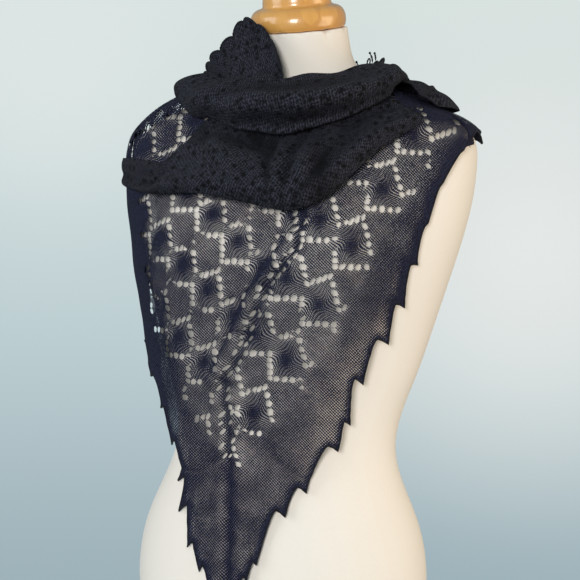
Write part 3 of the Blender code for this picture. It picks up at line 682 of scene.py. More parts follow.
def knitted_wool(name, crown_highlight, hollow, relief, unevenness, with_shaded_pits):
    """Fine dark wool: stitches in rows, with small gaps between them that open
    where the fabric isn't closely knitted. Its colour has painted light: a highlight
    on the top of each stitch with brighter glints, painted shade in the hollows
    between stitches, in small dark spots when asked, and where a fold's shadow falls."""
    n = Nodes(name)
    places = n.place()
    stitch = n.add("ShaderNodeSeparateXYZ")
    n.link(n.add("ShaderNodeUVMap", uv_map="knit").outputs[0], stitch.inputs[0])
    wander = n.math("SUBTRACT", n.noise(places, 230.0, 2.0), 0.5)
    u = n.math("MULTIPLY_ADD", wander, unevenness, stitch.outputs[0])
    v = n.math("MULTIPLY_ADD", wander, -unevenness, stitch.outputs[1])
    turn = 2 * math.pi
    across = n.math("COSINE", n.math("MULTIPLY", u, turn))
    down = n.math("COSINE", n.math("MULTIPLY", v, turn))
    gaps = n.math("ADD", n.math("MULTIPLY", across, 0.62), n.math("MULTIPLY", down, 0.38))
    fuzz = n.math("SUBTRACT", n.noise(places, 900.0, 3.0, 0.7), 0.5)
    patch = n.math("SUBTRACT", n.noise(places, 46.0, 2.0), 0.5)
    level = n.math("ADD", gaps, n.math("MULTIPLY", fuzz, 0.9))
    close = n.add("ShaderNodeAttribute", attribute_type="GEOMETRY", attribute_name="close").outputs["Fac"]
    limit = n.math("MULTIPLY_ADD", close, 0.95, 0.14)
    limit = n.math("MULTIPLY_ADD", patch, 0.55, limit)
    opened = n.math("MULTIPLY", n.math("SUBTRACT", level, limit), 6.5)
    opened = n.math("ADD", opened, 0.5, clamp=True)
    n.link(n.math("SUBTRACT", 1.0, opened), n.shader.inputs["Alpha"])
    thread = n.math("MULTIPLY_ADD", level, -0.5, 0.5, clamp=True)
    # painted shade: small dark spots stand for eyelets with shade behind them; they also dent the bump
    if with_shaded_pits:
        shaded_pits = n.add("ShaderNodeTexVoronoi")
        n.link(places, shaded_pits.inputs["Vector"])
        shaded_pits.inputs["Scale"].default_value = 120.0
        rim = n.math("MULTIPLY_ADD", shaded_pits.outputs["Distance"], 3.2, -0.55, clamp=True)
        thread = n.math("MULTIPLY", thread, rim)
    # painted highlight: brighter glints on the threads
    painted_glint = n.math("MULTIPLY_ADD", n.noise(places, 520.0, 2.0), 3.2, -1.05, clamp=True)
    lift = n.math("MULTIPLY", thread, n.math("MULTIPLY_ADD", painted_glint, 1.25, 0.25), clamp=True)
    # painted shade: the piece's attribute darkens the colour where a fold's shadow falls
    painted_shade = n.add("ShaderNodeAttribute", attribute_type="GEOMETRY", attribute_name="painted_shade").outputs["Fac"]
    lift = n.math("MULTIPLY", lift, n.math("SUBTRACT", 1.0, painted_shade))
    # painted light: the hollow colour is painted shade between the stitches, the crown colour a painted
    # highlight on the yarn
    n.link(n.mix(lift, hollow, crown_highlight), n.shader.inputs["Base Color"])
    n.bump(thread, relief, 0.0011)
    n.set(Roughness=0.86, Sheen_Weight=0.02, Sheen_Roughness=0.5, Specular_IOR_Level=0.15)
    n.shader.inputs["Sheen Tint"].default_value = (0.35, 0.38, 0.55, 1.0)
    return n.material


def twisted_edge(name):
    n = Nodes(name)
    places = n.place()
    fuzz = n.noise(places, 700.0, 3.0, 0.7)
    slow = n.noise(places, 60.0, 2.0)
    shade = n.math("MULTIPLY", fuzz, slow)
    n.link(n.mix(shade, (0.0022, 0.0024, 0.0045), (0.024, 0.026, 0.040)), n.shader.inputs["Base Color"])
    n.bump(fuzz, 0.6, 0.0006)
    n.set(Roughness=0.88, Sheen_Weight=0.05, Sheen_Roughness=0.6, Specular_IOR_Level=0.15)
    return n.material


def cream_linen():
    """Plain jersey drawn over padding, with a fine rib and slight unevenness."""
    n = Nodes("cream_linen")
    places = n.place()
    separate = n.add("ShaderNodeSeparateXYZ")
    n.link(places, separate.inputs[0])
    rows = n.math("SINE", n.math("MULTIPLY", separate.outputs[2], 2 * math.pi / 0.0011))
    turn = n.math("ARCTAN2", separate.outputs[0], separate.outputs[1])
    ribs = n.math("SINE", n.math("MULTIPLY", turn, 760.0))
    weave = n.math("MULTIPLY", n.math("MULTIPLY_ADD", rows, 0.5, 0.5), n.math("MULTIPLY_ADD", ribs, 0.5, 0.5))
    slub = n.noise(places, 420.0, 4.0, 0.65)
    slow = n.noise(places, 9.0, 3.0)
    grain = n.math("MULTIPLY_ADD", weave, 0.35, n.math("MULTIPLY", slub, 0.65))
    base = n.mix(slow, (0.775, 0.705, 0.625), (0.825, 0.765, 0.695))
    lightened = n.mix(n.math("MULTIPLY_ADD", grain, 0.55, 0.10), base, (0.90, 0.865, 0.82))
    n.link(lightened, n.shader.inputs["Base Color"])
    n.bump(grain, 0.35, 0.0006)
    n.set(Roughness=0.88, Sheen_Weight=0.12, Sheen_Roughness=0.5, Specular_IOR_Level=0.25)
    return n.material


def turned_maple():
    """Honey-coloured turned wood under clear varnish."""
    n = Nodes("turned_maple")
    mapping = n.add("ShaderNodeMapping")
    mapping.inputs["Scale"].default_value = (1.0, 1.0, 0.22)
    mapping.inputs["Rotation"].default_value = (0.10, 1.35, 0.35)
    n.link(n.place(), mapping.inputs["Vector"])
    places = mapping.outputs[0]
    rings = n.add("ShaderNodeTexWave", wave_type="BANDS", bands_direction="X", wave_profile="SAW")
    n.link(places, rings.inputs["Vector"])
    rings.inputs["Scale"].default_value = 26.0
    rings.inputs["Distortion"].default_value = 5.5
    rings.inputs["Detail"].default_value = 3.0
    rings.inputs["Detail Scale"].default_value = 1.4
    fibre = n.noise(places, 320.0, 4.0, 0.6)
    figure = n.noise(places, 34.0, 3.0)
    dark = n.math("MULTIPLY_ADD", rings.outputs["Fac"], 0.45, n.math("MULTIPLY", figure, 0.55))
    base = n.mix(dark, (0.74, 0.385, 0.095), (0.50, 0.205, 0.040))
    n.link(n.mix(n.math("MULTIPLY", fibre, 0.5), base, (0.80, 0.47, 0.15)), n.shader.inputs["Base Color"])
    n.bump(fibre, 0.08, 0.0004)
    n.set(Roughness=0.30, Coat_Weight=0.7, Coat_Roughness=0.12, Specular_IOR_Level=0.5)
    return n.material


# ---------------------------------------------------------------- lowest layer
def stitch_places(flat, fans):
    """Where each point of the cloth lies among the stitches. Rows run aslant, and
    curl and crowd round each fan's centre."""
    moved = flat.copy()
    crowd = np.zeros(len(flat))
    if len(fans):
        fans = np.array(fans)
        for start in range(0, len(flat), 4096):
            block = flat[start:start + 4096]
            offset = block[:, None] - fans[None]
            gap = np.linalg.norm(offset, axis=-1)
            closest = gap.argmin(axis=1)
            rows = np.arange(len(block))
            d = offset[rows, closest]
            r = gap[rows, closest]
            turn = 1.0 * np.exp(-(r / 0.0115)**2)
            pinch = 1 + 0.55 * np.exp(-(r / 0.0075)**2)
            x = (d[:, 0] * np.cos(turn) - d[:, 1] * np.sin(turn)) * pinch
            y = (d[:, 0] * np.sin(turn) + d[:, 1] * np.cos(turn)) * pinch
            moved[start:start + 4096] = fans[closest] + np.stack([x, y], axis=-1)
            crowd[start:start + 4096] = np.exp(-(r / 0.0064)**2)
    angle = math.radians(GRAIN_ANGLE)
    u = (moved[:, 0] * math.sin(angle) + moved[:, 1] * math.cos(angle)) / STITCH_WIDTH
    v = (moved[:, 0] * math.cos(angle) - moved[:, 1] * math.sin(angle)) / STITCH_HEIGHT
    return np.stack([u, v], axis=-1), crowd


# The drawn-in line down the middle of the front, and the soft crease to its left,
# as bearings and heights.
SPINE = ((24, 0.500), (24, 0.464), (22.5, 0.434), (14, 0.411), (6, 0.384), (-1.5, 0.349), (-9, 0.320),
         (-18, 0.295), (-17, 0.240), (-14, 0.192), (-8, 0.140), (-6, 0.092))
SIDE_STRIP = -63.0          # bearing past which the layer is doubled along the right arm
SIDE_STRIP_TOP = 0.515
SPINE_KEEPS_OFF = 0.0035    # nearest that an eyelet of the repeat comes to the spine
SPINE_EYELETS = (0.030, 0.330, 0.0088)
NO_PATH = 9.0
BAND_KEEPS_OFF = 0.0048
HOLE_KEEPS_OFF = 0.0038
EYELET_GAP = 0.0053
EYELET_GROWTH = (1.18, 1.48)
BACK_REPEAT_START = (0.011, 0.560)
LEFT_ARM_NARROWS = (0.400, 0.500, 0.42)
RIGHT_ARM_NARROWS = (0.300, 0.400, 0.75)
TOP_STEP = 0.004
NECK_STEP = 1.6
FRONT_OVERLAP = 4
BACK_OVERLAP = 5
CREASE = ((16, 0.445), (14, 0.434), (6, 0.412), (-2, 0.391), (-8, 0.367), (-14, 0.343), (-20, 0.322),
          (-25, 0.303))


def path_gap(points, path):
    """Distance to a path of flat places, the side of it, and how far down it."""
    best = np.full(len(points), NO_PATH)
    side = np.zeros(len(points))
    down = np.zeros(len(points))
    run = 0.0
    for a, b in zip(path[:-1], path[1:]):
        step = b - a
        length = np.linalg.norm(step)
        t = np.clip(((points - a) @ step) / length**2, 0, 1)
        off = points - (a + t[:, None] * step)
        gap = np.linalg.norm(off, axis=1)
        nearer = gap < best
        best = np.where(nearer, gap, best)
        side = np.where(nearer, np.sign(off[:, 0] * step[1] - off[:, 1] * step[0]), side)
        down = np.where(nearer, run + t * length, down)
        run += length
    return best, side, down


def layer_stand_off(bearing, height, spine, crease, edge):
    """How far the lowest layer stands off the form: slow waves, the gathered
    line down its middle, the crease beside it and the lift of its free edge."""
    gap, side, down = spine
    base = CLEAR + WALL / 2
    slow = 0.0011 * waves(np.stack([bearing * 0.0022, height], axis=-1), 0.070, 3)
    puckers = 0.0016 * np.cos(down * 2 * math.pi / 0.027) * hill(gap, 0.004, 0.011)
    gather = -0.0014 * hill(gap, 0, 0.0035) + 0.0026 * hill(gap, 0.010, 0.007)
    crease_gap, crease_side, _ = crease
    fold = -0.0016 * hill(crease_gap, 0, 0.0022) + 0.0020 * hill(crease_gap * crease_side, -0.0075, 0.006)
    uneven = waves(np.stack([bearing * 0.002, height], axis=-1), 0.05, 5)
    lift = 0.0030 * hill(edge, 0, 0.014) * (0.6 + 0.6 * uneven)
    return np.maximum(base + slow + puckers + gather + fold + lift, 0.0022)


def narrowed(edge, band, low, high, part):
    """The border, folded narrower up beside the arm."""
    share = 1 - (1 - part) * smooth(low, high, edge[:, 1])
    return edge + (band - edge) * share[:, None]


def rise_to_top(end, past):
    """Places from an end of the free edge straight up to the line under the cowl."""
    heights = np.arange(end[1] + TOP_STEP, LAYER_TOP, TOP_STEP)
    return np.stack([np.full(len(heights), end[0] + past), heights], axis=-1)


def layer_outline(with_front):
    """The free edge, the border's inner line and the hidden line under the cowl,
    as bearings and heights. The front and the back overlap by a few degrees."""
    if with_front:
        right, right_band = edge_line(FRONT_RIGHT_ROW, len(EDGE) - 1)
        left, left_band = edge_line(0.0, SHOULDER_LEFT_ROW)
        right[:, 0] -= 360
        right_band[:, 0] -= 360
        left_band = narrowed(left, left_band, *LEFT_ARM_NARROWS)
        right_band = narrowed(right, right_band, *RIGHT_ARM_NARROWS)
        edge = np.concatenate([right[:-1], left])
        band = np.concatenate([right_band[:-1], left_band])
    else:
        edge, band = edge_line(SHOULDER_LEFT_ROW, FRONT_RIGHT_ROW)
    neck_bearings = np.arange(edge[-1, 0], edge[0, 0], -NECK_STEP)[1:]
    neck = np.stack([neck_bearings, np.full(len(neck_bearings), LAYER_TOP)], axis=-1)
    last_side = rise_to_top(edge[-1], FRONT_OVERLAP if with_front else 0)
    first_side = rise_to_top(edge[0], 0 if with_front else -BACK_OVERLAP)
    return edge, band, np.concatenate([last_side, neck, first_side[::-1]])


def front_lace(unrolled, spine, crease):
    """Eyelets and fans of the two halves of the front, which meet at the spine."""
    eyelets = []
    fans = []
    for repeat, is_left in ((LEFT_REPEAT, True), (RIGHT_REPEAT, False)):
        start = unrolled.flat([repeat["start"][0]], [repeat["start"][1]])[0]
        found, centres = repeat_points(repeat, start)
        places = np.array([eyelet[:2] for eyelet in found])
        gap, on_side, _ = path_gap(places, spine)
        crease_gap = path_gap(places, crease)[0]
        fan_side = path_gap(np.array(centres), spine)[1]
        keep = (gap > SPINE_KEEPS_OFF) & ((on_side > 0) == is_left)
        if is_left:
            between = (gap < 0.030) & (crease_gap < 0.030) & (gap + crease_gap < 0.036)
            keep &= ~(between & (crease_gap > 0.0045) & (gap > 0.0075))
        eyelets += [eyelet for eyelet, kept in zip(found, keep) if kept]
        fans += [centre for centre, side in zip(centres, fan_side) if (side > 0) == is_left]
    draw = np.random.default_rng(8)
    length = np.concatenate([[0], np.cumsum(np.linalg.norm(np.diff(spine, axis=0), axis=1))])
    for distance in np.arange(*SPINE_EYELETS):
        x = np.interp(distance, length, spine[:, 0])
        y = np.interp(distance, length, spine[:, 1])
        for push in (-0.0042, 0.0042):
            if draw.uniform() < 0.80:
                eyelets.append((x + push + draw.normal() * 0.0008, y + draw.normal() * 0.001,
                                0.0014 + 0.0006 * draw.uniform(), 0.0026, -0.55))
    return eyelets, fans


def lowest_layer(name, unrolled, shift, with_front, shade):
    """One stretch of the lowest layer with its eyelets, and its free edge's line."""
    edge, band, top = layer_outline(with_front)
    edge_flat = unrolled.flat(edge[:, 0] - shift, edge[:, 1])
    band_flat = unrolled.flat(band[:, 0] - shift, band[:, 1])
    top_flat = unrolled.flat(top[:, 0] - shift, top[:, 1])
    outline = np.concatenate([edge_flat, top_flat])
    lace = np.concatenate([band_flat, top_flat])
    spine = unrolled.flat(*np.array(SPINE, float).T)
    crease = unrolled.flat(*np.array(CREASE, float).T)

    def path_gaps(flat):
        """Gaps to the spine and to the crease, which only the front has."""
        if with_front:
            return path_gap(flat, spine), path_gap(flat, crease)
        far = (np.full(len(flat), NO_PATH), np.ones(len(flat)), flat[:, 1])
        return far, far

    if with_front:
        eyelets, fans = front_lace(unrolled, spine, crease)
    else:
        eyelets, fans = repeat_points(LEFT_REPEAT, np.array(BACK_REPEAT_START))
    places = np.array([eyelet[:2] for eyelet in eyelets])
    sizes = np.array([eyelet[2:] for eyelet in eyelets])
    keep = inside_outline(places, lace)
    keep &= nearest(places, lace) > BAND_KEEPS_OFF
    if with_front:
        place_bearing, place_height = unrolled.round(places)
        keep &= ~((place_bearing < SIDE_STRIP) & (place_height < SIDE_STRIP_TOP))
    places, sizes = places[keep], sizes[keep]
    order = []
    for index, spot in enumerate(places):
        if not order or np.min(np.linalg.norm(places[order] - spot, axis=1)) > EYELET_GAP:
            order.append(index)
    draw = np.random.default_rng(21)
    holes = []
    for index in order:
        half_width, half_height, lean = sizes[index]
        grow = draw.uniform(*EYELET_GROWTH)
        spot = places[index] + draw.normal(size=2) * 0.00022
        holes.append(ring(spot, half_width * grow, half_height * grow * draw.uniform(0.92, 1.08),
                          lean + draw.normal() * 0.10))
    flat, faces = triangulated(outline, holes)
    bearing, height = unrolled.round(flat)
    spine_gap, crease_gap = path_gaps(flat)
    edge_gap = nearest(flat, edge_flat, 0.06)
    stand_off = layer_stand_off(bearing + shift, height, spine_gap, crease_gap, edge_gap)
    points = lie(bearing + shift, height, stand_off)
    fans = np.array(fans)
    fans = fans[inside_outline(fans, lace)]
    fans = fans[nearest(fans, band_flat) > 0.007]
    stitches, crowd = stitch_places(flat, fans)
    band_gap = nearest(flat, band_flat, 0.08)
    in_lace = inside_outline(flat, lace)
    border = np.where(in_lace, smooth(0.006, 0.0, band_gap), 1.0) * 0.10
    gathered = 0.42 * hill(spine_gap[0], 0, 0.0035) + 0.55 * hill(crease_gap[0], 0, 0.0018)
    rolled = 0.75 * smooth(0.0075, 0.001, edge_gap)
    if with_front:
        left_up = smooth(0.250, 0.300, height) * (bearing < -40)
        right_up = smooth(0.350, 0.400, height) * (bearing > 40)
        rolled += right_up * 0.7 * smooth(0.014, 0.006, edge_gap)
        rolled += left_up * 0.7 * smooth(0.013, 0.005, edge_gap)
        rolled += 1.2 * smooth(0.566, 0.578, height) * (bearing > 45)
        rolled += 0.20 * smooth(0.515, 0.535, height) * (bearing < -40)
        rolled += 0.65 * smooth(SIDE_STRIP + 4, SIDE_STRIP - 3, bearing) * smooth(0.525, 0.505, height)
    closeness = np.clip(border + crowd * 0.75 + gathered + rolled, 0, 1.4)
    piece = add_piece(name, points, faces, stitches, closeness, shade)
    shell(piece, SHEET)
    on_edge = np.zeros(len(edge_flat))
    stand_off = layer_stand_off(edge[:, 0], edge[:, 1], *path_gaps(edge_flat), on_edge)
    return piece, lie(edge[:, 0], edge[:, 1], stand_off)


# ---------------------------------------------------------------- folds of the cowl
def through(points, steps):
    """A smooth line through a few stations, for a whole row of sections at once."""
    points = np.asarray(points)
    count = len(points)
    padded = np.concatenate([[2 * points[0] - points[1]], points, [2 * points[-1] - points[-2]]])
    line = []
    for span in range(count - 1):
        for t in np.linspace(0, 1, steps, endpoint=False):
            a, b, c, d = padded[span:span + 4]
            line.append(0.5 * (2 * b + (c - a) * t + (2 * a - 5 * b + 4 * c - d) * t**2
                               + (3 * b - a - 3 * c + d) * t**3))
    line.append(points[-1])
    return np.array(line)


def grid_normals(grid, closed):
    across = np.empty_like(grid)
    if closed:
        across = np.roll(grid, -1, axis=1) - np.roll(grid, 1, axis=1)
    else:
        across[:, 1:-1] = grid[:, 2:] - grid[:, :-2]
        across[:, 0] = grid[:, 1] - grid[:, 0]
        across[:, -1] = grid[:, -1] - grid[:, -2]
    down = np.empty_like(grid)
    down[1:-1] = grid[2:] - grid[:-2]
    down[0] = grid[1] - grid[0]
    down[-1] = grid[-1] - grid[-2]
    return unit(np.cross(down, across))


def grid_stitches(grid, width, height, lean):
    """Stitch places from lengths along and across a grid."""
    across = np.linalg.norm(np.diff(grid, axis=1), axis=-1)
    down = np.linalg.norm(np.diff(grid, axis=0), axis=-1)
    u = np.concatenate([np.zeros((len(grid), 1)), np.cumsum(across, axis=1)], axis=1)
    u = np.repeat(u.mean(axis=0)[None], len(grid), axis=0)
    v = np.concatenate([np.zeros((1, grid.shape[1])), np.cumsum(down, axis=0)], axis=0)
    v = np.repeat(v.mean(axis=1)[:, None], grid.shape[1], axis=1)
    cos_l, sin_l = math.cos(lean), math.sin(lean)
    stitches = np.stack([(u * cos_l + v * sin_l) / width, (-u * sin_l + v * cos_l) / height], axis=-1)
    return stitches.reshape(-1, 2)


def lower_cowl(shade):
    """The fold that hangs low over the chest: a hollow under the roll, two nested swags
    below it, and a loop that turns back at its right end, with painted shade in its
    pocket, under the roll and in the hollows of its pleats."""
    column = read_columns(LOWER_COWL, LOWER_COWL_COLUMNS)
    sections = LOWER_COWL_SECTIONS
    bearings = np.linspace(*LOWER_COWL_ENDS, sections)
    value = {name: function(bearings) for name, function in column.items()}
    near = np.full(sections, CLEAR + WALL + 0.0022)
    opened = 0.66 * smooth(-41.0, -51.0, bearings)
    value["top"] -= opened * (value["top"] - value["lip"])
    value["hollow"] -= opened * (value["hollow"] - value["lip"])
    settled = 0.04 + 0.96 * smooth(-85.0, -52.0, bearings)
    value["belly_out"] = near + (value["belly_out"] - near) * settled
    value["lip_out"] = near + (value["lip_out"] - near) * settled
    drop = value["hollow"] - value["lip"]
    stations = (
        (value["top"], near),
        (value["hollow"], near + 0.0015),
        (value["hollow"] - drop * 0.45, value["belly_out"] * 0.92),
        (value["lip"] + drop * 0.16, value["belly_out"] + 0.0010),
        (value["lip"] + drop * 0.01, value["lip_out"] + 0.0012),
        (value["lip"] + drop * 0.045, near + (value["lip_out"] - near) * 0.50),
    )
    grid = through([np.stack([height, out], axis=-1) for height, out in stations], 18)
    height, out = grid[..., 0], grid[..., 1]
    bearing = np.broadcast_to(bearings, height.shape)
    room = smooth(0.004, 0.014, out)
    t = (value["top"] - height) / (value["top"] - value["lip"])
    pocket_line = -4 - 512 * (height - 0.543)
    pocket = -0.022 * hill(bearing, pocket_line, 9) * hill(height, 0.545, 0.022)
    ridge = 0.0095 * hill(bearing, -22 - 480 * (height - 0.530), 6.5) * hill(height, 0.522, 0.028)
    loop = 0.0100 * hill(bearing, -41 + 90 * (height - 0.575), 4.5) * hill(height, 0.572, 0.022)
    fan = np.arctan2((bearing - 18) * 0.0026, height - 0.452)
    pleats = np.cos(fan * 13 + 0.6)
    fanned = smooth(-0.75, -0.35, fan)
    rays = 0.0034 * pleats * fanned * smooth(0.90, 0.70, t)
    band = 0.0030 * np.cos((t - 0.12) * 2 * math.pi * 2.6 + 0.9 * np.sin(np.radians(bearing * 2.2))) \
        * (0.35 + 0.65 * smooth(20, 45, np.abs(bearing - 16)))
    slow = 0.0026 * waves(np.stack([bearing * 0.0024, height], axis=-1), 0.032, 11)
    moved = (pocket + ridge + loop + rays + band + slow) * room * settled
    out = np.maximum(out + moved, CLEAR + WALL + 0.0016)
    points = lie(bearing, height, out)
    close = 1.10 - 0.30 * smooth(-55, -75, bearing) \
        - 0.95 * hill(bearing, -31, 5) * hill(height, 0.534, 0.011) \
        - 0.45 * smooth(0.90, 1.0, t) * (bearing < 60) \
        - 0.55 * hill(bearing, 8, 9) * hill(height, 0.552, 0.003)
    # painted shade: darker in the pocket under the roll, along the top under the roll, in a band at bearing
    # 34, in the pleats' hollows and along a slanting crease
    painted_shade = 0.92 * hill(bearing, pocket_line, 11) * hill(height, 0.545, 0.021) \
        + 0.80 * smooth(0.14, 0.04, t) * (bearing > -38) + 0.55 * hill(bearing, 34, 4) * smooth(0.2, 0.5, t) \
        + 0.45 * smooth(0.0, -1.0, pleats) * fanned * smooth(0.10, 0.35, t) \
        + 0.60 * hill(bearing, -36 - 480 * (height - 0.545), 3.5) * hill(height, 0.552, 0.022)
    stitches = grid_stitches(points, 0.0026, 0.0030, math.radians(34))
    piece = add_piece("shawl_lower_cowl_knit", points.reshape(-1, 3), grid_faces(*points.shape[:2]),
                      stitches, close.ravel(), shade, painted_shade.ravel())
    return shell(piece, COWL_SHEET)


def upper_cowl(shade):
    """The roll round the neck, with soft creases along it and a rim that turns in."""
    column = read_columns(UPPER_COWL, UPPER_COWL_COLUMNS)
    bearings = np.linspace(-180, 180, UPPER_COWL_SECTIONS, endpoint=False)
    value = {name: function(bearings) for name, function in column.items()}
    crease = lie(bearings, value["crease"], value["crease_out"])
    bottom = crease[:, 2]
    bottom_radius = np.hypot(crease[:, 0], crease[:, 1] - NECK_AXIS_Y)
    rim, rim_radius = value["rim"], value["rim_radius"]
    belly = np.maximum(bottom_radius, rim_radius + BELLY_OVER_RIM) + value["belly_out"]
    stations = (
        (rim_radius - RIM_TURN - 0.0015, rim - RIM_DROP - 0.006),
        (rim_radius - RIM_TURN * 0.6, rim - RIM_DROP * 0.3),
        (rim_radius, rim + 0.0005),
        (belly - 0.0020, rim - (rim - bottom) * 0.30),
        (belly + 0.0010, bottom + (rim - bottom) * 0.35),
        (bottom_radius + 0.0005, bottom),
        (bottom_radius - 0.0050, bottom + 0.0015),
    )
    grid = through([np.stack([radius, height], axis=-1) for radius, height in stations], 14)
    points = round_neck(np.broadcast_to(bearings, grid.shape[:2]), grid[..., 0], grid[..., 1])
    normal = grid_normals(points, True)
    t = np.linspace(0, 1, len(grid))[:, None]
    b = np.radians(np.broadcast_to(bearings, grid.shape[:2]))
    room = smooth(0.10, 0.30, t) * smooth(1.0, 0.86, t)
    wander = 0.05 * np.sin(b * 2 + 0.6) + 0.03 * np.sin(b * 5 + 1.9)
    ripple = np.cos((t + wander) * 2 * math.pi * 3.1 + 0.8 * np.sin(b * 1.5))
    strength = 0.55 + 0.45 * np.sin(b * 3.0 + 0.7)
    creases = 0.0034 * ripple * strength
    slant = 0.0030 * np.cos(b * 9 + t * 9.0) * hill(b, -0.85, 0.55) \
        + 0.0022 * np.cos(b * 8 - t * 8.0) * hill(b, 1.1, 0.5)
    slow = 0.0024 * waves(points, 0.055, 17)
    sag = -0.0040 * hill(t, 0.80, 0.10) * hill(b, 0.25, 0.9)
    rim_wave = 0.0016 * waves(points, 0.030, 19) * hill(t, 0.30, 0.12)
    points = points + normal * ((creases + slant + slow + sag) * room + rim_wave)[..., None]
    eyes = hill(t, 0.27, 0.045) * hill(b, 0.20, 0.55)
    close = 1.12 - 0.50 * eyes + 0 * b
    # painted shade: darker in the hollows of the creases and where the roll tucks under at its foot
    painted_shade = 0.60 * smooth(0.2, -1.0, ripple) * strength + 0.75 * smooth(0.84, 0.97, t) + 0 * b
    stitches = grid_stitches(points, 0.0027, 0.0031, math.radians(-12))
    faces = grid_faces(*points.shape[:2], closed=True)
    piece = add_piece("shawl_upper_cowl_knit", points.reshape(-1, 3), faces,
                      stitches, close.ravel(), shade, painted_shade.ravel())
    return shell(piece, COWL_SHEET)


# ---------------------------------------------------------------- wing ends
WING_END_COLUMNS = ("bearing", "radius", "top")
WING_END_RIGHT = (
    (-90.0, 0.1150, 0.631),
    (-77.0, 0.1080, 0.639),
    (-64.0, 0.1000, 0.647),
    (-52.0, 0.0910, 0.657),
    (-40.0, 0.0850, 0.670),
    (-28.0, 0.0810, 0.683),
    (-17.0, 0.0790, 0.678),
    (-6.0, 0.0780, 0.664),
    (2.0, 0.0790, 0.645),
    (8.0, 0.0820, 0.622),
)
WING_END_LEFT = (
    (62.0, 0.0880, 0.626),
    (80.0, 0.0890, 0.635),
    (98.0, 0.0900, 0.644),
    (112.0, 0.0880, 0.652),
    (126.0, 0.0840, 0.650),
    (142.0, 0.0790, 0.646),
    (158.0, 0.0740, 0.646),
)


STEPS_PER_SCALLOP = 16
WING_LINES = 30
FOLD_SECTIONS = 70
FOLD_LINES = 44
FOLD_PLACE = {"bearing": 79.5, "reach": 33, "height": 0.6080, "drop": 0.0255, "hump": 0.0165, "out": 0.0052}
PICOT_RADIUS = 0.083    # how far the picots stand from the neck's axis


def wing_end(name, rows, scallops, depth, swing, shade):
    """A standing end of a wing, with its scalloped edge on top, and that edge's line."""
    column = read_columns(rows, WING_END_COLUMNS)
    cowl = read_columns(UPPER_COWL, UPPER_COWL_COLUMNS)
    count = scallops * STEPS_PER_SCALLOP + 1
    bearings = np.linspace(rows[0][0], rows[-1][0], count)
    part = (np.arange(count) % STEPS_PER_SCALLOP) / STEPS_PER_SCALLOP
    bumps = np.abs(np.sin(np.arange(count) / STEPS_PER_SCALLOP * math.pi))**0.55
    top = column["top"](bearings) - depth * (1 - bumps)
    radius = column["radius"](bearings)
    foot = cowl["rim"](bearings) - RIM_DROP
    foot_radius = cowl["rim_radius"](bearings) - RIM_TURN - COWL_WALL - WALL
    lines = []
    for t in np.linspace(0, 1, WING_LINES):
        flare = swing * (1 - t)**3 * bumps
        wave = 0.0012 * np.sin(np.radians(bearings) * 11 + t * 3) * (1 - t)
        lines.append(round_neck(bearings, radius + (foot_radius - radius) * t**2 + flare + wave,
                                top + (foot - top) * t))
    points = np.array(lines)
    near_edge = np.linspace(0, 1, WING_LINES)[:, None]
    dots = 0.5 + 0.5 * np.cos(2 * math.pi * part)[None]
    close = 1.10 - 0.55 * hill(near_edge, 0.16, 0.05) * (1 - dots) + 0 * points[..., 0]
    stitches = grid_stitches(points, 0.0024, 0.0028, math.radians(20))
    piece = add_piece(name, points.reshape(-1, 3), grid_faces(*points.shape[:2]),
                      stitches, close.ravel(), shade)
    return shell(piece, WING_SHEET), points[0]


def shoulder_fold(shade):
    """The raised fold over the left shoulder, like a small hood open to the front."""
    along = np.linspace(0, 1, FOLD_SECTIONS)
    lines = []
    for t in np.linspace(0, 1, FOLD_LINES):
        bearings = FOLD_PLACE["bearing"] + FOLD_PLACE["reach"] * t + 2.0 * np.sin(along * 7) * (1 - t)
        height = FOLD_PLACE["height"] - FOLD_PLACE["drop"] * along + 0.0015 * np.sin(along * 9 + t * 5)
        taper = 0.15 + 0.85 * np.sin(math.pi * np.clip(0.10 + 0.88 * along, 0, 1))**0.7
        hump = FOLD_PLACE["hump"] * smooth(1.0, 0.45, t) * (0.80 + 0.20 * smooth(0.0, 0.25, t))
        out = FOLD_PLACE["out"] + taper * hump + 0.0008 * np.sin(along * 23 + t * 6) * taper
        lines.append(lie(bearings, height, out))
    points = np.array(lines)
    rim = hill(np.linspace(0, 1, FOLD_LINES)[:, None], 0.16, 0.05)
    dots = 0.5 + 0.5 * np.cos(along * 2 * math.pi * 9)[None]
    close = 1.10 - 0.95 * rim * dots
    stitches = grid_stitches(points, 0.0024, 0.0028, math.radians(30))
    piece = add_piece("shawl_shoulder_fold_knit", points.reshape(-1, 3), grid_faces(*points.shape[:2]),
                      stitches, close.ravel(), shade)
    return shell(piece, FOLD_SHEET), points[0]


def picot_loop(bearing, height, width, rise):
    """One thin open loop of the other wing end."""
    turns = np.linspace(-0.5 * math.pi, 1.5 * math.pi, 19)
    across = np.cos(turns) * width / 2
    up = (np.sin(turns) + 1) * rise / 2
    line = round_neck(bearing + np.degrees(across / 0.085), 0.0855 + up * 0.15, height + up)
    return cord_mesh(line, 0.0009, knots=0.0)


def picot_stalk(bearing, height, rise, lean):
    """A picot that stands up as a thin stalk with a knob."""
    t = np.linspace(0, 1, 8)
    line = round_neck(bearing + lean * t**2, np.full(8, PICOT_RADIUS), height + rise * t)
    knob_height = height + rise + np.linspace(-0.001, 0.0018, 4)
    knob = round_neck(np.full(4, bearing + lean), np.full(4, PICOT_RADIUS), knob_height)
    return joined([cord_mesh(line, 0.0010), cord_mesh(knob, 0.0019)])


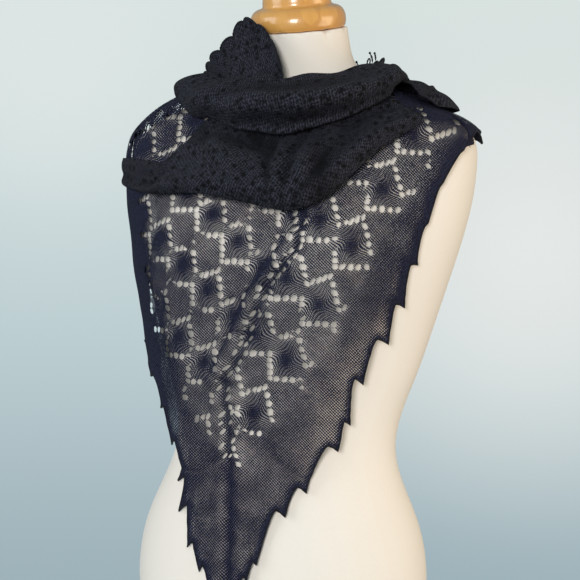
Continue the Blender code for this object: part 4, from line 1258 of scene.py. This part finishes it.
# ---------------------------------------------------------------- dress form
def copied(node, name):
    bpy.ops.object.select_all(action="DESELECT")
    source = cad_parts[node]
    piece = bpy.data.objects.new(name, source.data.copy())
    bpy.context.scene.collection.objects.link(piece)
    bpy.context.view_layer.objects.active = piece
    piece.select_set(True)
    bpy.ops.object.mode_set(mode="EDIT")
    bpy.ops.mesh.select_all(action="SELECT")
    bpy.ops.mesh.remove_doubles(threshold=0.00002)
    bpy.ops.mesh.tris_convert_to_quads(face_threshold=math.radians(40), shape_threshold=math.radians(60))
    bpy.ops.object.mode_set(mode="OBJECT")
    return piece


def rounded_copy(node, name, levels, flat_below, shade):
    """A smooth surface from a node's facets, whose flat underside keeps its edge."""
    piece = copied(node, name)
    creases = piece.data.attributes.new("crease_edge", "FLOAT", "EDGE")
    for edge in piece.data.edges:
        a, b = (piece.data.vertices[index].co for index in edge.vertices)
        if a.z < flat_below and b.z < flat_below:
            creases.data[edge.index].value = 1.0
    modifier = piece.modifiers.new("rounded", "SUBSURF")
    modifier.levels = levels
    modifier.render_levels = levels
    bpy.ops.object.modifier_apply(modifier=modifier.name)
    bpy.ops.object.shade_smooth_by_angle(angle=math.radians(50))
    piece.select_set(False)
    piece.data.materials.clear()
    piece.data.materials.append(shade)
    return piece


# ---------------------------------------------------------------- build
# both knits paint light: the crown colour is a painted highlight on the yarn and the hollow colour painted
# shade between stitches; the cowl's knit also has painted shade in small dark spots
lace = knitted_wool("dark_lace_knit", crown_highlight=(0.025, 0.028, 0.064), hollow=(0.0020, 0.0022, 0.0055),
                    relief=0.7, unevenness=0.55, with_shaded_pits=False)
dense = knitted_wool("dark_cowl_knit", crown_highlight=(0.040, 0.042, 0.060), hollow=(0.0012, 0.0013, 0.0025),
                     relief=1.0, unevenness=1.5, with_shaded_pits=True)
edging = twisted_edge("dark_twisted_edge")
linen = cream_linen()
maple = turned_maple()

form = rounded_copy("dress_form_torso", "dress_form_cover", 2, 0.001, linen)
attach(form, "root")
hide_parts("dress_form_torso")
cap = rounded_copy("dress_form_neck_cap", "dress_form_turned_cap", 1, -1.0, maple)
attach(cap, "root")
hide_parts("dress_form_neck_cap")

front_flat = Unrolled(VIEW_BEARING, -104, 100, 0.66)
back_flat = BackFlat()
front, front_edge = lowest_layer("shawl_front_lace", front_flat, 0.0, True, lace)
back, back_edge = lowest_layer("shawl_back_lace", back_flat, 180.0, False, lace)
lower = lower_cowl(dense)
upper = upper_cowl(dense)
wing_right, wing_right_edge = wing_end("shawl_wing_end_right_lace", WING_END_RIGHT, 8, 0.0045, 0.004, dense)
wing_left, wing_left_edge = wing_end("shawl_wing_end_left_lace", WING_END_LEFT, 7, 0.006, 0.002, dense)
fold, fold_edge = shoulder_fold(dense)
cords = [
    picot_stalk(161, 0.642, 0.019, 5),
    picot_loop(139, 0.648, 0.0065, 0.0095),
    picot_stalk(127, 0.650, 0.012, 6),
    picot_stalk(148, 0.643, 0.012, 4),
    picot_stalk(116, 0.650, 0.009, 5),
    cord_mesh(front_edge, 0.00085),
    cord_mesh(back_edge, 0.00085),
    cord_mesh(wing_right_edge, 0.0013),
    cord_mesh(wing_left_edge, 0.0009),
    cord_mesh(fold_edge, 0.0009),
]
points, faces = joined(cords)
edge_piece = add_piece("shawl_twisted_edge", points, faces, shade=edging)

for piece, nodes, slot in (
        (front, ("shawl_lace_front", "shawl_border_front"), "lace"),
        (back, ("shawl_shoulder_left", "shawl_back", "shawl_shoulder_right"), "lace"),
        (lower, ("shawl_cowl_lower",), "lace"),
        (upper, ("shawl_cowl_upper",), "lace"),
        (wing_right, ("shawl_wing_end_right",), "lace"),
        (wing_left, ("shawl_wing_end_left",), "lace"),
        (fold, ("shawl_shoulder_fold_left",), "lace"),
        (edge_piece, (), "lace")):
    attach(piece, "root")
    if nodes:
        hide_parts(*nodes)


# ---------------------------------------------------------------- stage, lights and camera
FLOOR_RADIUS = 0.30
FLOOR_FADES = (0.17, 0.28)
LIGHTS_AIM = Vector((0.0, 0.0, 0.40))
CAMERA_AIM = Vector((0.0, 0.0, 0.39))
CAMERA_DISTANCE = 1.45
CAMERA_RISE = 1.0
CAMERA_ROLL = 1.2
CAMERA_ANGLE = 25.04


def studio():
    scene = bpy.context.scene
    scene.view_settings.view_transform = "Standard"
    world = bpy.data.worlds.new("pale_room")
    world.use_nodes = True
    scene.world = world
    tree = world.node_tree
    background = tree.nodes["Background"]
    direction = tree.nodes.new("ShaderNodeTexCoord")
    split = tree.nodes.new("ShaderNodeSeparateXYZ")
    tree.links.new(direction.outputs["Generated"], split.inputs[0])

    def blended(factor, a, b):
        blend = tree.nodes.new("ShaderNodeMix")
        blend.data_type = "RGBA"
        tree.links.new(factor, blend.inputs[0])
        for socket, colour in ((blend.inputs[6], a), (blend.inputs[7], b)):
            if isinstance(colour, tuple):
                socket.default_value = (*colour, 1.0)
            else:
                tree.links.new(colour, socket)
        return blend.outputs[2]

    def ranged(value, low, high):
        ramp = tree.nodes.new("ShaderNodeMapRange")
        ramp.interpolation_type = "SMOOTHSTEP"
        tree.links.new(value, ramp.inputs["Value"])
        ramp.inputs["From Min"].default_value = low
        ramp.inputs["From Max"].default_value = high
        return ramp.outputs[0]

    def glow(towards, spread):
        away = tree.nodes.new("ShaderNodeVectorMath")
        away.operation = "DISTANCE"
        tree.links.new(direction.outputs["Generated"], away.inputs[0])
        away.inputs[1].default_value = towards
        return ranged(away.outputs["Value"], spread, 0.0)

    lower_half = blended(ranged(split.outputs[2], -0.26, 0.0), (0.350, 0.455, 0.500), (0.545, 0.655, 0.680))
    room = blended(ranged(split.outputs[2], 0.0, 0.24), lower_half, (0.700, 0.780, 0.755))
    room = blended(glow((-0.20, 0.98, 0.02), 0.26), room, (0.800, 0.830, 0.815))
    room = blended(glow((-0.53, 0.83, 0.16), 0.22), room, (0.740, 0.810, 0.800))
    tree.links.new(room, background.inputs["Color"])
    path = tree.nodes.new("ShaderNodeLightPath")
    strength = tree.nodes.new("ShaderNodeMapRange")
    tree.links.new(path.outputs["Is Camera Ray"], strength.inputs["Value"])
    strength.inputs["To Min"].default_value = 0.42
    strength.inputs["To Max"].default_value = 0.97
    tree.links.new(strength.outputs[0], background.inputs["Strength"])

    floor_nodes = Nodes("pale_floor")
    distance = floor_nodes.add("ShaderNodeVectorMath", operation="LENGTH")
    floor_nodes.link(floor_nodes.place(), distance.inputs[0])
    fade = floor_nodes.add("ShaderNodeMapRange")
    floor_nodes.link(distance.outputs["Value"], fade.inputs["Value"])
    fade.inputs["From Min"].default_value = FLOOR_FADES[0]
    fade.inputs["From Max"].default_value = FLOOR_FADES[1]
    fade.inputs["To Min"].default_value = 1.0
    fade.inputs["To Max"].default_value = 0.0
    floor_nodes.link(fade.outputs[0], floor_nodes.shader.inputs["Alpha"])
    floor_nodes.set(Roughness=0.9)
    floor_nodes.shader.inputs["Base Color"].default_value = (0.66, 0.72, 0.73, 1.0)
    bpy.ops.mesh.primitive_circle_add(vertices=96, radius=FLOOR_RADIUS, fill_type="NGON",
                                      location=(0, 0, -0.0005))
    floor = bpy.context.object
    floor.name = "pale_floor"
    floor.data.materials.append(floor_nodes.material)

    lights = (
        ("window", (-1.45, -1.25, 0.95), (1.1, 1.3), 14.0, (0.91, 0.955, 1.0)),
        ("room", (0.38, -1.95, 0.62), (0.50, 0.50), 23.0, (1.0, 0.99, 0.975)),
        ("warm_wall", (1.70, 0.10, 0.50), (1.0, 1.4), 18.0, (1.0, 0.80, 0.58)),
    )
    for name, spot, (width, height), power, colour in lights:
        lamp = bpy.data.lights.new(name, "AREA")
        lamp.shape = "RECTANGLE"
        lamp.size = width
        lamp.size_y = height
        lamp.energy = power
        lamp.color = colour
        stand = bpy.data.objects.new(name, lamp)
        stand.location = spot
        aim = LIGHTS_AIM - Vector(spot)
        stand.rotation_euler = aim.to_track_quat("-Z", "Y").to_euler()
        bpy.context.scene.collection.objects.link(stand)


def camera():
    turn = math.radians(VIEW_BEARING)
    rise = math.radians(CAMERA_RISE)
    back = Vector((math.sin(turn) * math.cos(rise), -math.cos(turn) * math.cos(rise), math.sin(rise)))
    lens = bpy.data.cameras.new("camera")
    lens.angle = math.radians(CAMERA_ANGLE)
    lens.clip_start = 0.05
    seat = bpy.data.objects.new("camera", lens)
    upright = (-back).to_track_quat("-Z", "Y").to_matrix().to_4x4()
    roll = Matrix.Rotation(math.radians(CAMERA_ROLL), 4, "Z")
    seat.matrix_world = Matrix.Translation(CAMERA_AIM + back * CAMERA_DISTANCE) @ upright @ roll
    bpy.context.scene.collection.objects.link(seat)
    bpy.context.scene.camera = seat


studio()
camera()
